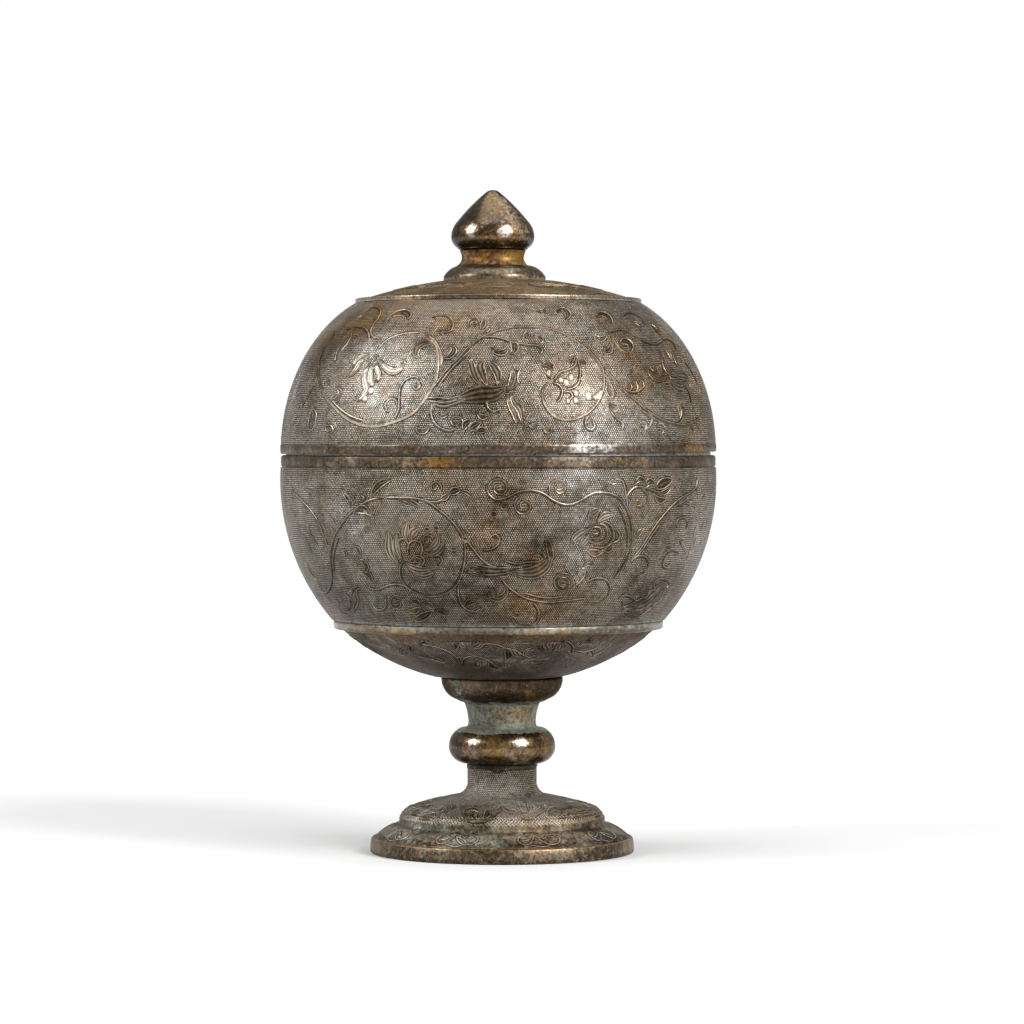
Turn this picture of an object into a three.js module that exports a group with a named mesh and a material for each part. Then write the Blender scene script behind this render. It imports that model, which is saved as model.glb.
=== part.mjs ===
// Covered stem cup: a raised globe in two halves, the lower one standing on a stem that is
// built up from a foot, a knop, a neck and a saucer, the upper one lifted by a bud finial.
// Millimetres, +Z up, the origin on the floor under the middle of the globe.

import * as THREE from 'three';

// Foot: one raised sheet with its lower stem, set in a heavy edge ring
const footRadius = 29.85;
const edgeTall = 3.4;
const edgeWide = 2.6;
const edgeBevel = 0.35;
const edgeLipWide = 0.95;
const footSheet = 1.1;
const flangeRise = 3.2;
const flangeBulge = 0.14;
const domeRadius = 23.3;
const domeRise = 6.45;
const domeShoulder = 2.7;
const domeWallTall = 1.0;
const domeTopRadius = 10.1;
const domeBulge = 0.055;
const flareTall = 2.4;
const lowerStemRadius = 7.85;
const lowerStemTall = 6.85;

// Stem pieces, stacked on the foot
const stemBore = 3.4;
const knopTall = 8.1;
const knopRadius = 12.1;
const knopEndRadius = 9.2;
const knopFootTall = 0.5;
const knopFootRadius = 8.5;
const neckTall = 5.6;
const neckRadius = 7.65;
const neckTopRadius = 8.5;
const neckBaseTall = 1.2;
const saucerTall = 6.2;
const saucerRadius = 13.8;
const saucerUnderRadius = 11.3;
const saucerUnderRise = 1.6;
const saucerSlit = 0.3;
const saucerSeatInset = 1.6;

// Rod that ties foot, stem and bowl together, hammered over a washer at each end
const rodRadius = 3.0;
const rodHeadRadius = 5.0;
const rodHeadTall = 1.5;
const washerRadius = 7.4;
const washerThick = 1.2;
const washerBore = 0.2;

// Bowl: the lower half of the globe
const bowlWall = 1.2;
const bowlFloor = 1.5;
const seatMargin = 0.3;
const capRise = 9.4;
const capRadius = 33.9;
const capBulge = 0.11;
const girdleRadius = 37.35;
const girdleTall = 2.0;
const girdleWide = 1.7;
const girdleDrop = 1.4;
const capEdgeTall = 1.0;
const bowlBandTall = 37.2;
const bowlBandFoot = 37.7;
const bowlBandBulge = 0.206;
const rimRadius = 49.1;
const rimWall = 0.9;
const rimRound = 0.3;
const rimStraight = 5.0;

// Ring inside the bowl's mouth that keeps the cover in place
const flangeWall = 0.9;
const flangeStand = 3.6;
const flangeTaper = 0.9;
const flangeRimGap = 0.25;

// Cover: the upper half of the globe
const rimGap = 0.3;
const rimSkew = 0.5;
const rimSkewTall = 3.0;
const coverWall = 1.1;
const coverOverhang = 0.2;
const coverRimWall = 0.75;
const coverBandTall = 34.0;
const coverBandTurn = 65.6;
const shoulderRadius = 32.6;
const shoulderWide = 1.5;
const shoulderTall = 1.1;
const shoulderLip = 0.2;
const ledgeWide = 1.6;
const ledgeTall = 0.6;
const ledgeFall = 0.15;
const crownGroove = 0.35;
const crownShelfWide = 1.8;
const crownRise = 4.0;
const crownBulge = 0.04;

// Finial: bud, neck and collar on one tang through the crown
const finialCollarTall = 3.5;
const finialCollarRadius = 11.55;
const finialCollarEdge = 1.1;
const finialCollarBulge = 0.17;
const finialNeckTall = 3.4;
const finialNeckRadius = 7.0;
const finialNeckEnd = 8.2;
const budTall = 13.8;
const budRadius = 9.4;
const budUnderRadius = 7.5;
const budWidestAt = 3.3;
const budShoulderRise = 3.6;
const budShoulderInset = 1.6;
const budTipRadius = 0.5;
const budTipBulge = 0.107;
const budGroove = 0.35;
const tangRadius = 2.0;
const tangDepth = 6.5;
const tangHeadRadius = 3.4;
const tangHeadTall = 1.2;
const finialWasherRadius = 6.6;
const finialWasherThick = 1.0;

// The old cup stands a little out of true: its stem is set right of the bowl, its finial left
const stemSetOff = 0.85;
const finialSetOff = -1.25;

// Clearances: soldered fits on one axis, and holes for a pin
const fitGap = 0.1;
const pinGap = 0.3;

// Facets round the globe, the foot and the small turned pieces, and round pins
const globeFacets = 48;
const footFacets = 40;
const stemFacets = 28;
const pinFacets = 16;

// The cover's rim stands a little proud of the bowl's
const coverRimRadius = rimRadius + coverOverhang;

// Heights of the joints between the pieces, from the floor up
const domeFootZ = edgeTall + flangeRise;
const domeTopZ = domeFootZ + domeRise;
const knopZ = domeTopZ + lowerStemTall;
const neckZ = knopZ + knopTall;
const saucerZ = neckZ + neckTall;
const bowlZ = saucerZ + saucerTall;
const capTopZ = bowlZ + capRise;
const girdleZ = capTopZ + girdleDrop;
const bandZ = girdleZ + girdleTall;
const bowlRimZ = bandZ + bowlBandTall;
const coverRimZ = bowlRimZ + rimGap;
const shoulderZ = coverRimZ + coverBandTall;
const ledgeZ = shoulderZ + shoulderTall;
const crownZ = ledgeZ + crownRise;
const finialNeckZ = crownZ + finialCollarTall;
const budZ = finialNeckZ + finialNeckTall;
const tipZ = budZ + budTall;

// An outline in radius and height, drawn with straight lines and round stretches. It runs up
// the outside of a piece and down the inside.
class Outline {
  constructor(radius, height) {
    this.points = [new THREE.Vector2(radius, height)];
  }

  last() {
    return this.points[this.points.length - 1];
  }

  to(radius, height) {
    this.points.push(new THREE.Vector2(radius, height));
    return this;
  }

  // Circular arc. The bulge is the tangent of a quarter of its angle, positive when it swells
  // to the right of the way drawn.
  arc(radius, height, bulge, steps) {
    const start = this.last();
    const end = new THREE.Vector2(radius, height);
    const chord = end.clone().sub(start);
    const half = 2 * Math.atan(bulge);
    const middle = start.clone().add(end).multiplyScalar(0.5);
    const left = new THREE.Vector2(-chord.y, chord.x).multiplyScalar(0.5 / Math.tan(half));
    const centre = middle.add(left);
    for (let step = 1; step <= steps; step++) {
      const turned = start.clone().rotateAround(centre, (2 * half * step) / steps);
      this.points.push(step === steps ? end : turned);
    }
    return this;
  }

  // Part of an ellipse that leaves its lower end upright, ends at a smaller radius and turns
  // through the angle given in degrees. Drawn downwards, it runs the other way.
  swell(low, high, turn, steps, downwards = false) {
    const full = THREE.MathUtils.degToRad(turn);
    const reach = 1 - Math.cos(full);
    for (let step = 0; step <= steps; step++) {
      const angle = (full * (downwards ? steps - step : step)) / steps;
      const inwards = (1 - Math.cos(angle)) / reach;
      const upwards = Math.sin(angle) / Math.sin(full);
      this.to(low.x + (high.x - low.x) * inwards, low.y + (high.y - low.y) * upwards);
    }
    return this;
  }
}

// A piece turned on the vertical axis. An outline that doesn't end on the axis closes on itself.
function turned(name, outline, facets, color, roughness) {
  const points = outline.points.slice();
  if (points[0].x > 0) {
    points.push(points[0].clone());
  }
  const geometry = new THREE.LatheGeometry(points, facets);
  geometry.rotateX(Math.PI / 2);
  const material = new THREE.MeshStandardMaterial({ color, roughness, metalness: 0.9 });
  const mesh = new THREE.Mesh(geometry, material);
  mesh.name = name;
  return mesh;
}

const silverGrey = 0x8d8274;
const polishedBrown = 0x6e5636;
const verdigrisGrey = 0x8a9686;
const innerGrey = 0x7d786e;

// Edge ring of the foot, with a rebate that the sheet's rim drops into
function footRim() {
  const rebate = footRadius - edgeLipWide;
  const shelf = edgeTall - footSheet;
  const inner = footRadius - edgeWide;
  const outline = new Outline(inner, 0)
    .to(footRadius - edgeBevel, 0)
    .arc(footRadius, edgeBevel, 0.35, 2)
    .to(footRadius - edgeBevel, edgeTall - edgeBevel)
    .to(footRadius - 2 * edgeBevel, edgeTall)
    .to(rebate, edgeTall)
    .to(rebate, shelf)
    .to(inner, shelf);
  return turned('foot_rim', outline, footFacets, polishedBrown, 0.4);
}

// Sheet of the foot: flange, upright wall, dome and the lower stem
function foot() {
  const outer = footRadius - edgeLipWide - fitGap;
  const shelf = edgeTall - footSheet;
  const wallTopZ = domeFootZ + domeWallTall;
  const shoulderTopZ = wallTopZ + domeShoulder;
  const shoulderTopRadius = domeRadius - domeShoulder;
  const innerWall = domeRadius - footSheet;
  const innerStem = washerRadius + seatMargin;
  const outline = new Outline(footRadius - edgeWide - footSheet, shelf)
    .to(outer, shelf)
    .to(outer, edgeTall)
    .arc(domeRadius + edgeBevel, domeFootZ - edgeBevel / 2, flangeBulge, 4)
    .to(domeRadius, domeFootZ + edgeBevel)
    .to(domeRadius, wallTopZ)
    .arc(shoulderTopRadius, shoulderTopZ, 0.25, 4)
    .arc(domeTopRadius, domeTopZ, domeBulge, 3)
    .arc(lowerStemRadius, domeTopZ + flareTall, -0.3, 4)
    .to(lowerStemRadius, knopZ)
    .to(stemBore, knopZ)
    .to(stemBore, domeTopZ - footSheet)
    .to(innerStem, domeTopZ - footSheet)
    .arc(shoulderTopRadius, shoulderTopZ - footSheet, -domeBulge, 3)
    .arc(innerWall, wallTopZ, -0.2, 2)
    .to(innerWall, domeFootZ - footSheet / 2)
    .arc(footRadius - edgeWide - footSheet, shelf, -flangeBulge, 2);
  outline.points.pop();
  return turned('foot', outline, footFacets, verdigrisGrey, 0.6);
}

// Knop: a cast ring with a narrow foot of its own
function stemKnop() {
  const outline = new Outline(stemBore, knopZ)
    .to(knopFootRadius, knopZ)
    .to(knopFootRadius, knopZ + knopFootTall)
    .to(knopEndRadius, knopZ + knopFootTall)
    .arc(knopRadius, knopZ + knopTall / 2, 0.33, 5)
    .arc(knopEndRadius, neckZ, 0.33, 5)
    .to(stemBore, neckZ);
  return turned('stem_knop', outline, stemFacets, polishedBrown, 0.3);
}

// Neck: a waisted tube between the knop and the saucer
function stemNeck() {
  const waistZ = neckZ + neckBaseTall;
  const outline = new Outline(stemBore, neckZ)
    .to(neckTopRadius, neckZ)
    .arc(neckRadius, waistZ, -0.3, 3)
    .arc(neckTopRadius, saucerZ, -0.09, 4)
    .to(stemBore, saucerZ);
  return turned('stem_neck', outline, stemFacets, verdigrisGrey, 0.55);
}

// Saucer under the bowl. Its rim stays a slit's width below the bowl.
function stemSaucer() {
  const seatRadius = saucerRadius - saucerSeatInset;
  const outline = new Outline(stemBore, saucerZ)
    .to(neckTopRadius, saucerZ)
    .to(saucerUnderRadius, saucerZ + saucerUnderRise)
    .arc(saucerRadius, bowlZ - saucerSlit, 0.26, 5)
    .to(seatRadius, bowlZ - saucerSlit)
    .to(seatRadius, bowlZ)
    .to(stemBore, bowlZ);
  return turned('stem_saucer', outline, stemFacets, polishedBrown, 0.35);
}

// Tie rod, with a hammered head over each washer
function tieRod() {
  const lowWasherZ = domeTopZ - footSheet - washerThick;
  const highWasherZ = bowlZ + bowlFloor + washerThick;
  const outline = new Outline(0, lowWasherZ - rodHeadTall)
    .to(rodHeadRadius / 2, lowWasherZ - rodHeadTall)
    .arc(rodHeadRadius, lowWasherZ, 0.2, 2)
    .to(rodRadius, lowWasherZ)
    .to(rodRadius, highWasherZ)
    .to(rodHeadRadius, highWasherZ)
    .arc(rodHeadRadius / 2, highWasherZ + rodHeadTall, 0.2, 2)
    .to(0, highWasherZ + rodHeadTall);
  return turned('tie_rod', outline, pinFacets, innerGrey, 0.5);
}

function washer(name, radius, bore, height, thick, facets) {
  const outline = new Outline(bore, height)
    .to(radius, height)
    .to(radius, height + thick)
    .to(bore, height + thick);
  return turned(name, outline, facets, innerGrey, 0.5);
}

// Lower cap of the bowl: floor, shallow dish and an upright edge behind the girdle wire
function bowlCap() {
  const hole = rodRadius + Math.abs(stemSetOff) + pinGap;
  const seatRadius = saucerRadius + Math.abs(stemSetOff) + seatMargin;
  const floorRadius = washerRadius + Math.abs(stemSetOff) + seatMargin;
  const rebate = girdleRadius - girdleWide;
  const seamZ = girdleZ + capEdgeTall;
  const outline = new Outline(hole, bowlZ)
    .to(seatRadius, bowlZ)
    .arc(capRadius, capTopZ, capBulge, 4)
    .to(rebate, girdleZ)
    .to(rebate, seamZ)
    .to(rebate - bowlWall, seamZ)
    .to(rebate - bowlWall, girdleZ)
    .to(capRadius - bowlWall, capTopZ + bowlWall / 2)
    .arc(floorRadius, bowlZ + bowlFloor, -capBulge, 4)
    .to(hole, bowlZ + bowlFloor);
  return turned('bowl_cap', outline, globeFacets, silverGrey, 0.5);
}

// Band of the bowl: it stands on the cap's edge, steps out over the girdle wire and ends in a
// rounded rim
function bowlBand() {
  const rebate = girdleRadius - girdleWide;
  const innerRim = rimRadius - rimWall;
  const seamZ = girdleZ + capEdgeTall;
  const outline = new Outline(rebate - bowlWall, seamZ)
    .to(rebate, seamZ)
    .to(rebate, bandZ)
    .to(bowlBandFoot, bandZ)
    .arc(rimRadius, bowlRimZ - rimRound, bowlBandBulge, 7)
    .arc(rimRadius - rimRound, bowlRimZ, 0.3, 2)
    .to(innerRim, bowlRimZ)
    .to(innerRim, bowlRimZ - rimStraight)
    .arc(rebate - bowlWall, bandZ, -bowlBandBulge, 5);
  return turned('bowl_band', outline, globeFacets, silverGrey, 0.5);
}

// Half-round wire soldered into a rebate
function wire(name, outerRadius, wide, low, tall, color) {
  const inner = outerRadius - wide + fitGap;
  const outline = new Outline(inner, low)
    .to(outerRadius - tall / 4, low)
    .arc(outerRadius, low + tall / 4, 0.35, 2)
    .to(outerRadius, low + (tall * 3) / 4)
    .arc(outerRadius - tall / 4, low + tall, 0.35, 2)
    .to(inner, low + tall);
  return turned(name, outline, globeFacets, color, 0.35);
}

// Locating ring: a straight part soldered in the bowl's mouth and a tapered one above the rim
function rimFlange() {
  const outer = rimRadius - rimWall - fitGap;
  const inner = outer - flangeWall;
  const lowZ = bowlRimZ - rimStraight;
  const highZ = bowlRimZ + flangeStand;
  const outline = new Outline(inner, lowZ)
    .to(outer, lowZ)
    .to(outer, bowlRimZ + flangeRimGap)
    .to(outer - flangeTaper, highZ)
    .to(inner - flangeTaper, highZ)
    .to(inner, bowlRimZ);
  return turned('rim_flange', outline, globeFacets, innerGrey, 0.4);
}

// Band of the cover, with a flat ledge turned in at its top and a shelf under the crown's edge.
// Its worn rim rises towards the right.
function coverBand() {
  const rebate = shoulderRadius - shoulderWide;
  const groove = rebate - ledgeWide;
  const shelf = groove - crownShelfWide;
  const shelfZ = ledgeZ - ledgeTall;
  const rimFoot = new THREE.Vector2(coverRimRadius, coverRimZ + rimRound);
  const bandTop = new THREE.Vector2(shoulderRadius, shoulderZ);
  const innerFoot = new THREE.Vector2(coverRimRadius - coverRimWall, coverRimZ + rimRound);
  const innerTop = new THREE.Vector2(rebate - coverWall, shelfZ - coverWall);
  const outline = new Outline(coverRimRadius - coverRimWall, coverRimZ)
    .to(coverRimRadius - rimRound, coverRimZ)
    .swell(rimFoot, bandTop, coverBandTurn, 8)
    .to(rebate, shoulderZ)
    .to(rebate, ledgeZ)
    .to(groove, ledgeZ + ledgeFall)
    .to(groove, shelfZ)
    .to(shelf, shelfZ)
    .to(shelf, shelfZ - coverWall)
    .swell(innerFoot, innerTop, coverBandTurn, 6, true);
  const mesh = turned('cover_band', outline, globeFacets, silverGrey, 0.5);
  const place = mesh.geometry.attributes.position;
  for (let index = 0; index < place.count; index++) {
    const above = (place.getZ(index) - coverRimZ) / rimSkewTall;
    const share = Math.max(0, 1 - above);
    const across = (place.getX(index) + coverRimRadius) / (2 * coverRimRadius);
    place.setZ(index, place.getZ(index) + rimSkew * share * across);
  }
  return mesh;
}

// Crown of the cover: a shallow dish let into the band's ledge, with a groove round its edge
function coverCrown() {
  const hole = tangRadius + Math.abs(finialSetOff) + pinGap;
  const seatRadius = finialCollarRadius + Math.abs(finialSetOff) + seatMargin;
  const washerSeat = finialWasherRadius + Math.abs(finialSetOff) + seatMargin;
  const edge = shoulderRadius - shoulderWide - ledgeWide - crownGroove;
  const shelfZ = ledgeZ - ledgeTall;
  const outline = new Outline(edge - coverWall, shelfZ)
    .to(edge, shelfZ)
    .to(edge, ledgeZ + crownGroove)
    .arc(seatRadius, crownZ, crownBulge, 4)
    .to(hole, crownZ)
    .to(hole, crownZ - coverWall)
    .to(washerSeat, crownZ - coverWall)
    .arc(edge - coverWall, shelfZ, -crownBulge, 4);
  outline.points.pop();
  return turned('cover_crown', outline, globeFacets, silverGrey, 0.5);
}

// Collar of the finial: a disc with an upright edge and a rounded top
function finialCollar() {
  const outline = new Outline(tangRadius + fitGap, crownZ)
    .to(finialCollarRadius, crownZ)
    .to(finialCollarRadius, crownZ + finialCollarEdge)
    .arc(finialNeckEnd, finialNeckZ, finialCollarBulge, 4)
    .to(tangRadius + fitGap, finialNeckZ);
  return turned('finial_collar', outline, stemFacets, polishedBrown, 0.35);
}

// Waisted neck under the bud
function finialNeck() {
  const outline = new Outline(tangRadius + fitGap, finialNeckZ)
    .to(finialNeckEnd, finialNeckZ)
    .arc(finialNeckRadius, finialNeckZ + finialNeckTall / 2, -0.25, 3)
    .arc(budUnderRadius, budZ, -0.12, 2)
    .to(tangRadius + fitGap, budZ);
  return turned('finial_neck', outline, stemFacets, polishedBrown, 0.35);
}

// Bud: a pointed drop with a groove round its underside and a blind bore for the tang
function finialBud() {
  const widestZ = budZ + budWidestAt;
  const shoulder = budRadius - budShoulderInset;
  const outline = new Outline(tangRadius + fitGap, budZ)
    .to(budUnderRadius, budZ)
    .to(budUnderRadius + budGroove, budZ + 2 * budGroove)
    .to(budUnderRadius, budZ + 2 * budGroove)
    .to(budUnderRadius + budGroove, budZ + 3 * budGroove)
    .arc(budRadius, widestZ, 0.2, 3)
    .arc(shoulder, widestZ + budShoulderRise, 0.2, 3)
    .arc(budTipRadius, tipZ - budTipRadius / 2, budTipBulge, 4)
    .to(0, tipZ)
    .to(0, budZ + tangDepth + fitGap)
    .to(tangRadius + fitGap, budZ + tangDepth + fitGap);
  return bored('finial_bud', outline, polishedBrown);
}

// A turned piece with a blind bore touches the axis at its tip and at the end of the bore, so
// its outline is opened there and turned as it is.
function bored(name, outline, color) {
  const onAxis = outline.points.findIndex((point) => point.x === 0);
  const outside = outline.points.slice(0, onAxis + 1);
  const inside = outline.points.slice(onAxis + 1);
  const opened = new Outline(inside[0].x, inside[0].y);
  opened.points = inside.concat(outside);
  return turned(name, opened, stemFacets, color, 0.3);
}

// Tang of the finial, hammered over its washer inside the cover
function finialTang() {
  const washerLowZ = crownZ - coverWall - finialWasherThick;
  const outline = new Outline(0, washerLowZ - tangHeadTall)
    .to(tangHeadRadius / 2, washerLowZ - tangHeadTall)
    .arc(tangHeadRadius, washerLowZ, 0.2, 2)
    .to(tangRadius, washerLowZ)
    .to(tangRadius, budZ + tangDepth)
    .to(0, budZ + tangDepth);
  return turned('finial_tang', outline, pinFacets, innerGrey, 0.5);
}

const stem = new THREE.Group();
stem.position.x = stemSetOff;
stem.add(footRim());
stem.add(foot());
stem.add(stemKnop());
stem.add(stemNeck());
stem.add(stemSaucer());
stem.add(tieRod());
const rodHole = rodRadius + washerBore;
const lowWasherZ = domeTopZ - footSheet - washerThick;
stem.add(washer('foot_washer', washerRadius, rodHole, lowWasherZ, washerThick, pinFacets));
stem.add(washer('bowl_washer', washerRadius, rodHole, bowlZ + bowlFloor, washerThick, pinFacets));

const finial = new THREE.Group();
finial.position.x = finialSetOff;
finial.add(finialCollar());
finial.add(finialNeck());
finial.add(finialBud());
finial.add(finialTang());
const tangHole = tangRadius + washerBore;
const finialWasherZ = crownZ - coverWall - finialWasherThick;
finial.add(
  washer('finial_washer', finialWasherRadius, tangHole, finialWasherZ, finialWasherThick, pinFacets),
);

const cup = new THREE.Group();
cup.add(stem);
cup.add(bowlCap());
cup.add(bowlBand());
cup.add(wire('girdle_wire', girdleRadius, girdleWide, girdleZ, girdleTall, polishedBrown));
cup.add(rimFlange());

const cover = new THREE.Group();
cover.add(coverBand());
cover.add(coverCrown());
const lipRadius = shoulderRadius - shoulderLip;
const lipWide = shoulderWide - shoulderLip;
cover.add(wire('shoulder_wire', lipRadius, lipWide, shoulderZ, shoulderTall, polishedBrown));
cover.add(finial);

const coveredStemCup = new THREE.Group();
coveredStemCup.add(cup);
coveredStemCup.add(cover);

export default coveredStemCup;
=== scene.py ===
import math

import bpy
import numpy as np
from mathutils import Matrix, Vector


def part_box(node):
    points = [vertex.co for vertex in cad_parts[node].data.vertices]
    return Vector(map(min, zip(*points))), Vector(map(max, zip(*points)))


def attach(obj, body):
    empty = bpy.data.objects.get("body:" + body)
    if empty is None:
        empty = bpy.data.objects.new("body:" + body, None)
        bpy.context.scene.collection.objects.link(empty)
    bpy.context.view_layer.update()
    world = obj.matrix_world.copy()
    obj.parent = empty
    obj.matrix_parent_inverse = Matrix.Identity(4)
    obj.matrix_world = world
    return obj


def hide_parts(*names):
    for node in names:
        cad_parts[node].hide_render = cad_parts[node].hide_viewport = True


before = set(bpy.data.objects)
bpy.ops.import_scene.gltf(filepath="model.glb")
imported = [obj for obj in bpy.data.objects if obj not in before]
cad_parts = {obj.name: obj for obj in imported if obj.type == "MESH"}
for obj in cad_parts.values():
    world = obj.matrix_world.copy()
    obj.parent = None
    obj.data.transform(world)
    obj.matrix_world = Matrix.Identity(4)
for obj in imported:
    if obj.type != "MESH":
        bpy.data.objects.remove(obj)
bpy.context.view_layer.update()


# Foot ring
# The heavy ring that the cup stands on, cast and turned in bronze. Its upper edge is worn to a
# bright gold-brown line, and the sheet of the foot is soldered into its rebate.

MM = 0.001


def span(node):
    """Lowest and highest place, radius and upright axis of a piece of the frame, in mm."""
    low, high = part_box(node)
    sizes = (low.z, high.z, (high.x - low.x) / 2.0, (high.x + low.x) / 2.0)
    return [round(size / MM, 3) for size in sizes]


EDGE_LOW, EDGE_TOP, EDGE_RADIUS, STEM_X = span("foot_rim")
SHEET_LOW, FOOT_TOP, SHEET_RADIUS, _ = span("foot")
EDGE_WIDE = 2.6
EDGE_LIP = 0.95
EDGE_BEVEL = 0.35

# Pitch in mm of the rows of grains in a punched ground and of the grains in a row, their height,
# and how far from a grain's middle its top and its dark ring start and are whole.
ROW_PITCH = 0.46
PUNCH_PITCH = 0.50
GRAIN_TALL = 0.11
GRAIN_TOP = (0.19, 0.09)
GRAIN_RING = (0.13, 0.22)

# Waves in the rows, by their size and height in mm, and drift along them, in mm and grains.
ROW_WAVES = (6.0, 0.6)
ROW_DRIFT = (9.0, 2.4)

SOOT = (0.016, 0.012, 0.009, 1.0)
# Worn bright metal, also laid as painted highlight on the lit crests of the strokes.
WORN_AND_HIGHLIGHT = (0.66, 0.60, 0.53, 1.0)
# Dark of the chased cut lines: dirt in them and painted shade.
GROOVE_DIRT_AND_SHADE = (0.026, 0.018, 0.010, 1.0)
HOLLOW_STAIN = (0.040, 0.029, 0.014, 1.0)
SHADED = (0.44, 0.40, 0.36, 1.0)

# What the bare metal's colour is multiplied by in its rosy and its mossy patches.
ROSY = (1.16, 0.95, 0.84, 1.0)
MOSSY = (0.66, 0.86, 0.92, 1.0)

# How high noise stands where a film with no share begins, how much lower that is for a whole
# share, and how much a mask lifts the noise.
FILM_EDGE = 0.70
FILM_GROWTH = 0.36
FILM_PULL = 0.35

# Each film that lies on the bronze: its colour, the size of its patches in mm, its dullness.
FILMS = {
    "brown": ((0.050, 0.033, 0.019, 1.0), 8.0, 0.15),
    "rust": ((0.120, 0.055, 0.028, 1.0), 4.0, 0.20),
    "gold": ((0.260, 0.150, 0.038, 1.0), 3.2, 0.15),
    "tan": ((0.300, 0.228, 0.150, 1.0), 1.6, 0.70),
    "green": ((0.235, 0.265, 0.215, 1.0), 3.0, 0.90),
    # Not a film: bright metal laid as painted highlight where the soft boxes shine.
    "highlight_spot": ((0.600, 0.540, 0.460, 1.0), 2.0, 0.0),
}

# Broad soft tones that shade what is under them where a mask of their name says so. The pale
# tone is partly painted highlight and painted reflection, laid where the soft boxes shine and
# along the globe's limbs, and partly paler metal and crust.
TONES = {
    "warm": (0.88, 0.62, 0.32, 1.0),
    "cool": (0.66, 0.75, 0.76, 1.0),
    "dusk": (0.36, 0.33, 0.31, 1.0),
    "pale_and_highlight": (1.75, 1.95, 2.25, 1.0),
}

WAX_ROUGH = 0.20

# Angle in degrees past which an edge stays sharp, and width in mm of a stained ring's soft edge.
SHARP_EDGE = 48.0
SOFT_EDGE = 0.3


class Link:
    """A shader socket with arithmetic: an expression on links adds its Math nodes."""

    def __init__(self, tree, socket=None):
        self.tree = tree
        self.socket = socket

    def node(self, kind, settings=None, inputs=None, output=0):
        made = self.tree.nodes.new(kind)
        for key, value in (settings or {}).items():
            setattr(made, key, value)
        for key, value in (inputs or {}).items():
            if isinstance(value, Link):
                self.tree.links.new(value.socket, made.inputs[key])
            else:
                made.inputs[key].default_value = value
        return Link(self.tree, made.outputs[output])

    def math(self, operation, *others):
        settings = {"operation": operation}
        return self.node("ShaderNodeMath", settings, dict(enumerate((self,) + others)))

    def __add__(self, other):
        return self.math("ADD", other)

    def __sub__(self, other):
        return self.math("SUBTRACT", other)

    def __rsub__(self, other):
        return self.math("MULTIPLY_ADD", -1.0, other)

    def __mul__(self, other):
        return self.math("MULTIPLY", other)

    def __truediv__(self, other):
        return self.math("DIVIDE", other)

    def __rtruediv__(self, other):
        return self.node("ShaderNodeMath", {"operation": "DIVIDE"}, {0: other, 1: self})

    __radd__ = __add__
    __rmul__ = __mul__

    def clear(self, low, high):
        """Rises smoothly from 0 at low to 1 at high."""
        settings = {"interpolation_type": "SMOOTHSTEP"}
        return self.node("ShaderNodeMapRange", settings, {0: self, 1: low, 2: high})

    def over(self, base, colour, blend="MIX"):
        """Lays colour over base, with this link as its share."""
        settings = {"data_type": "RGBA", "clamp_factor": True, "clamp_result": True, "blend_type": blend}
        return self.node("ShaderNodeMix", settings, {0: self, 6: base, 7: colour}, output=2)


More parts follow.
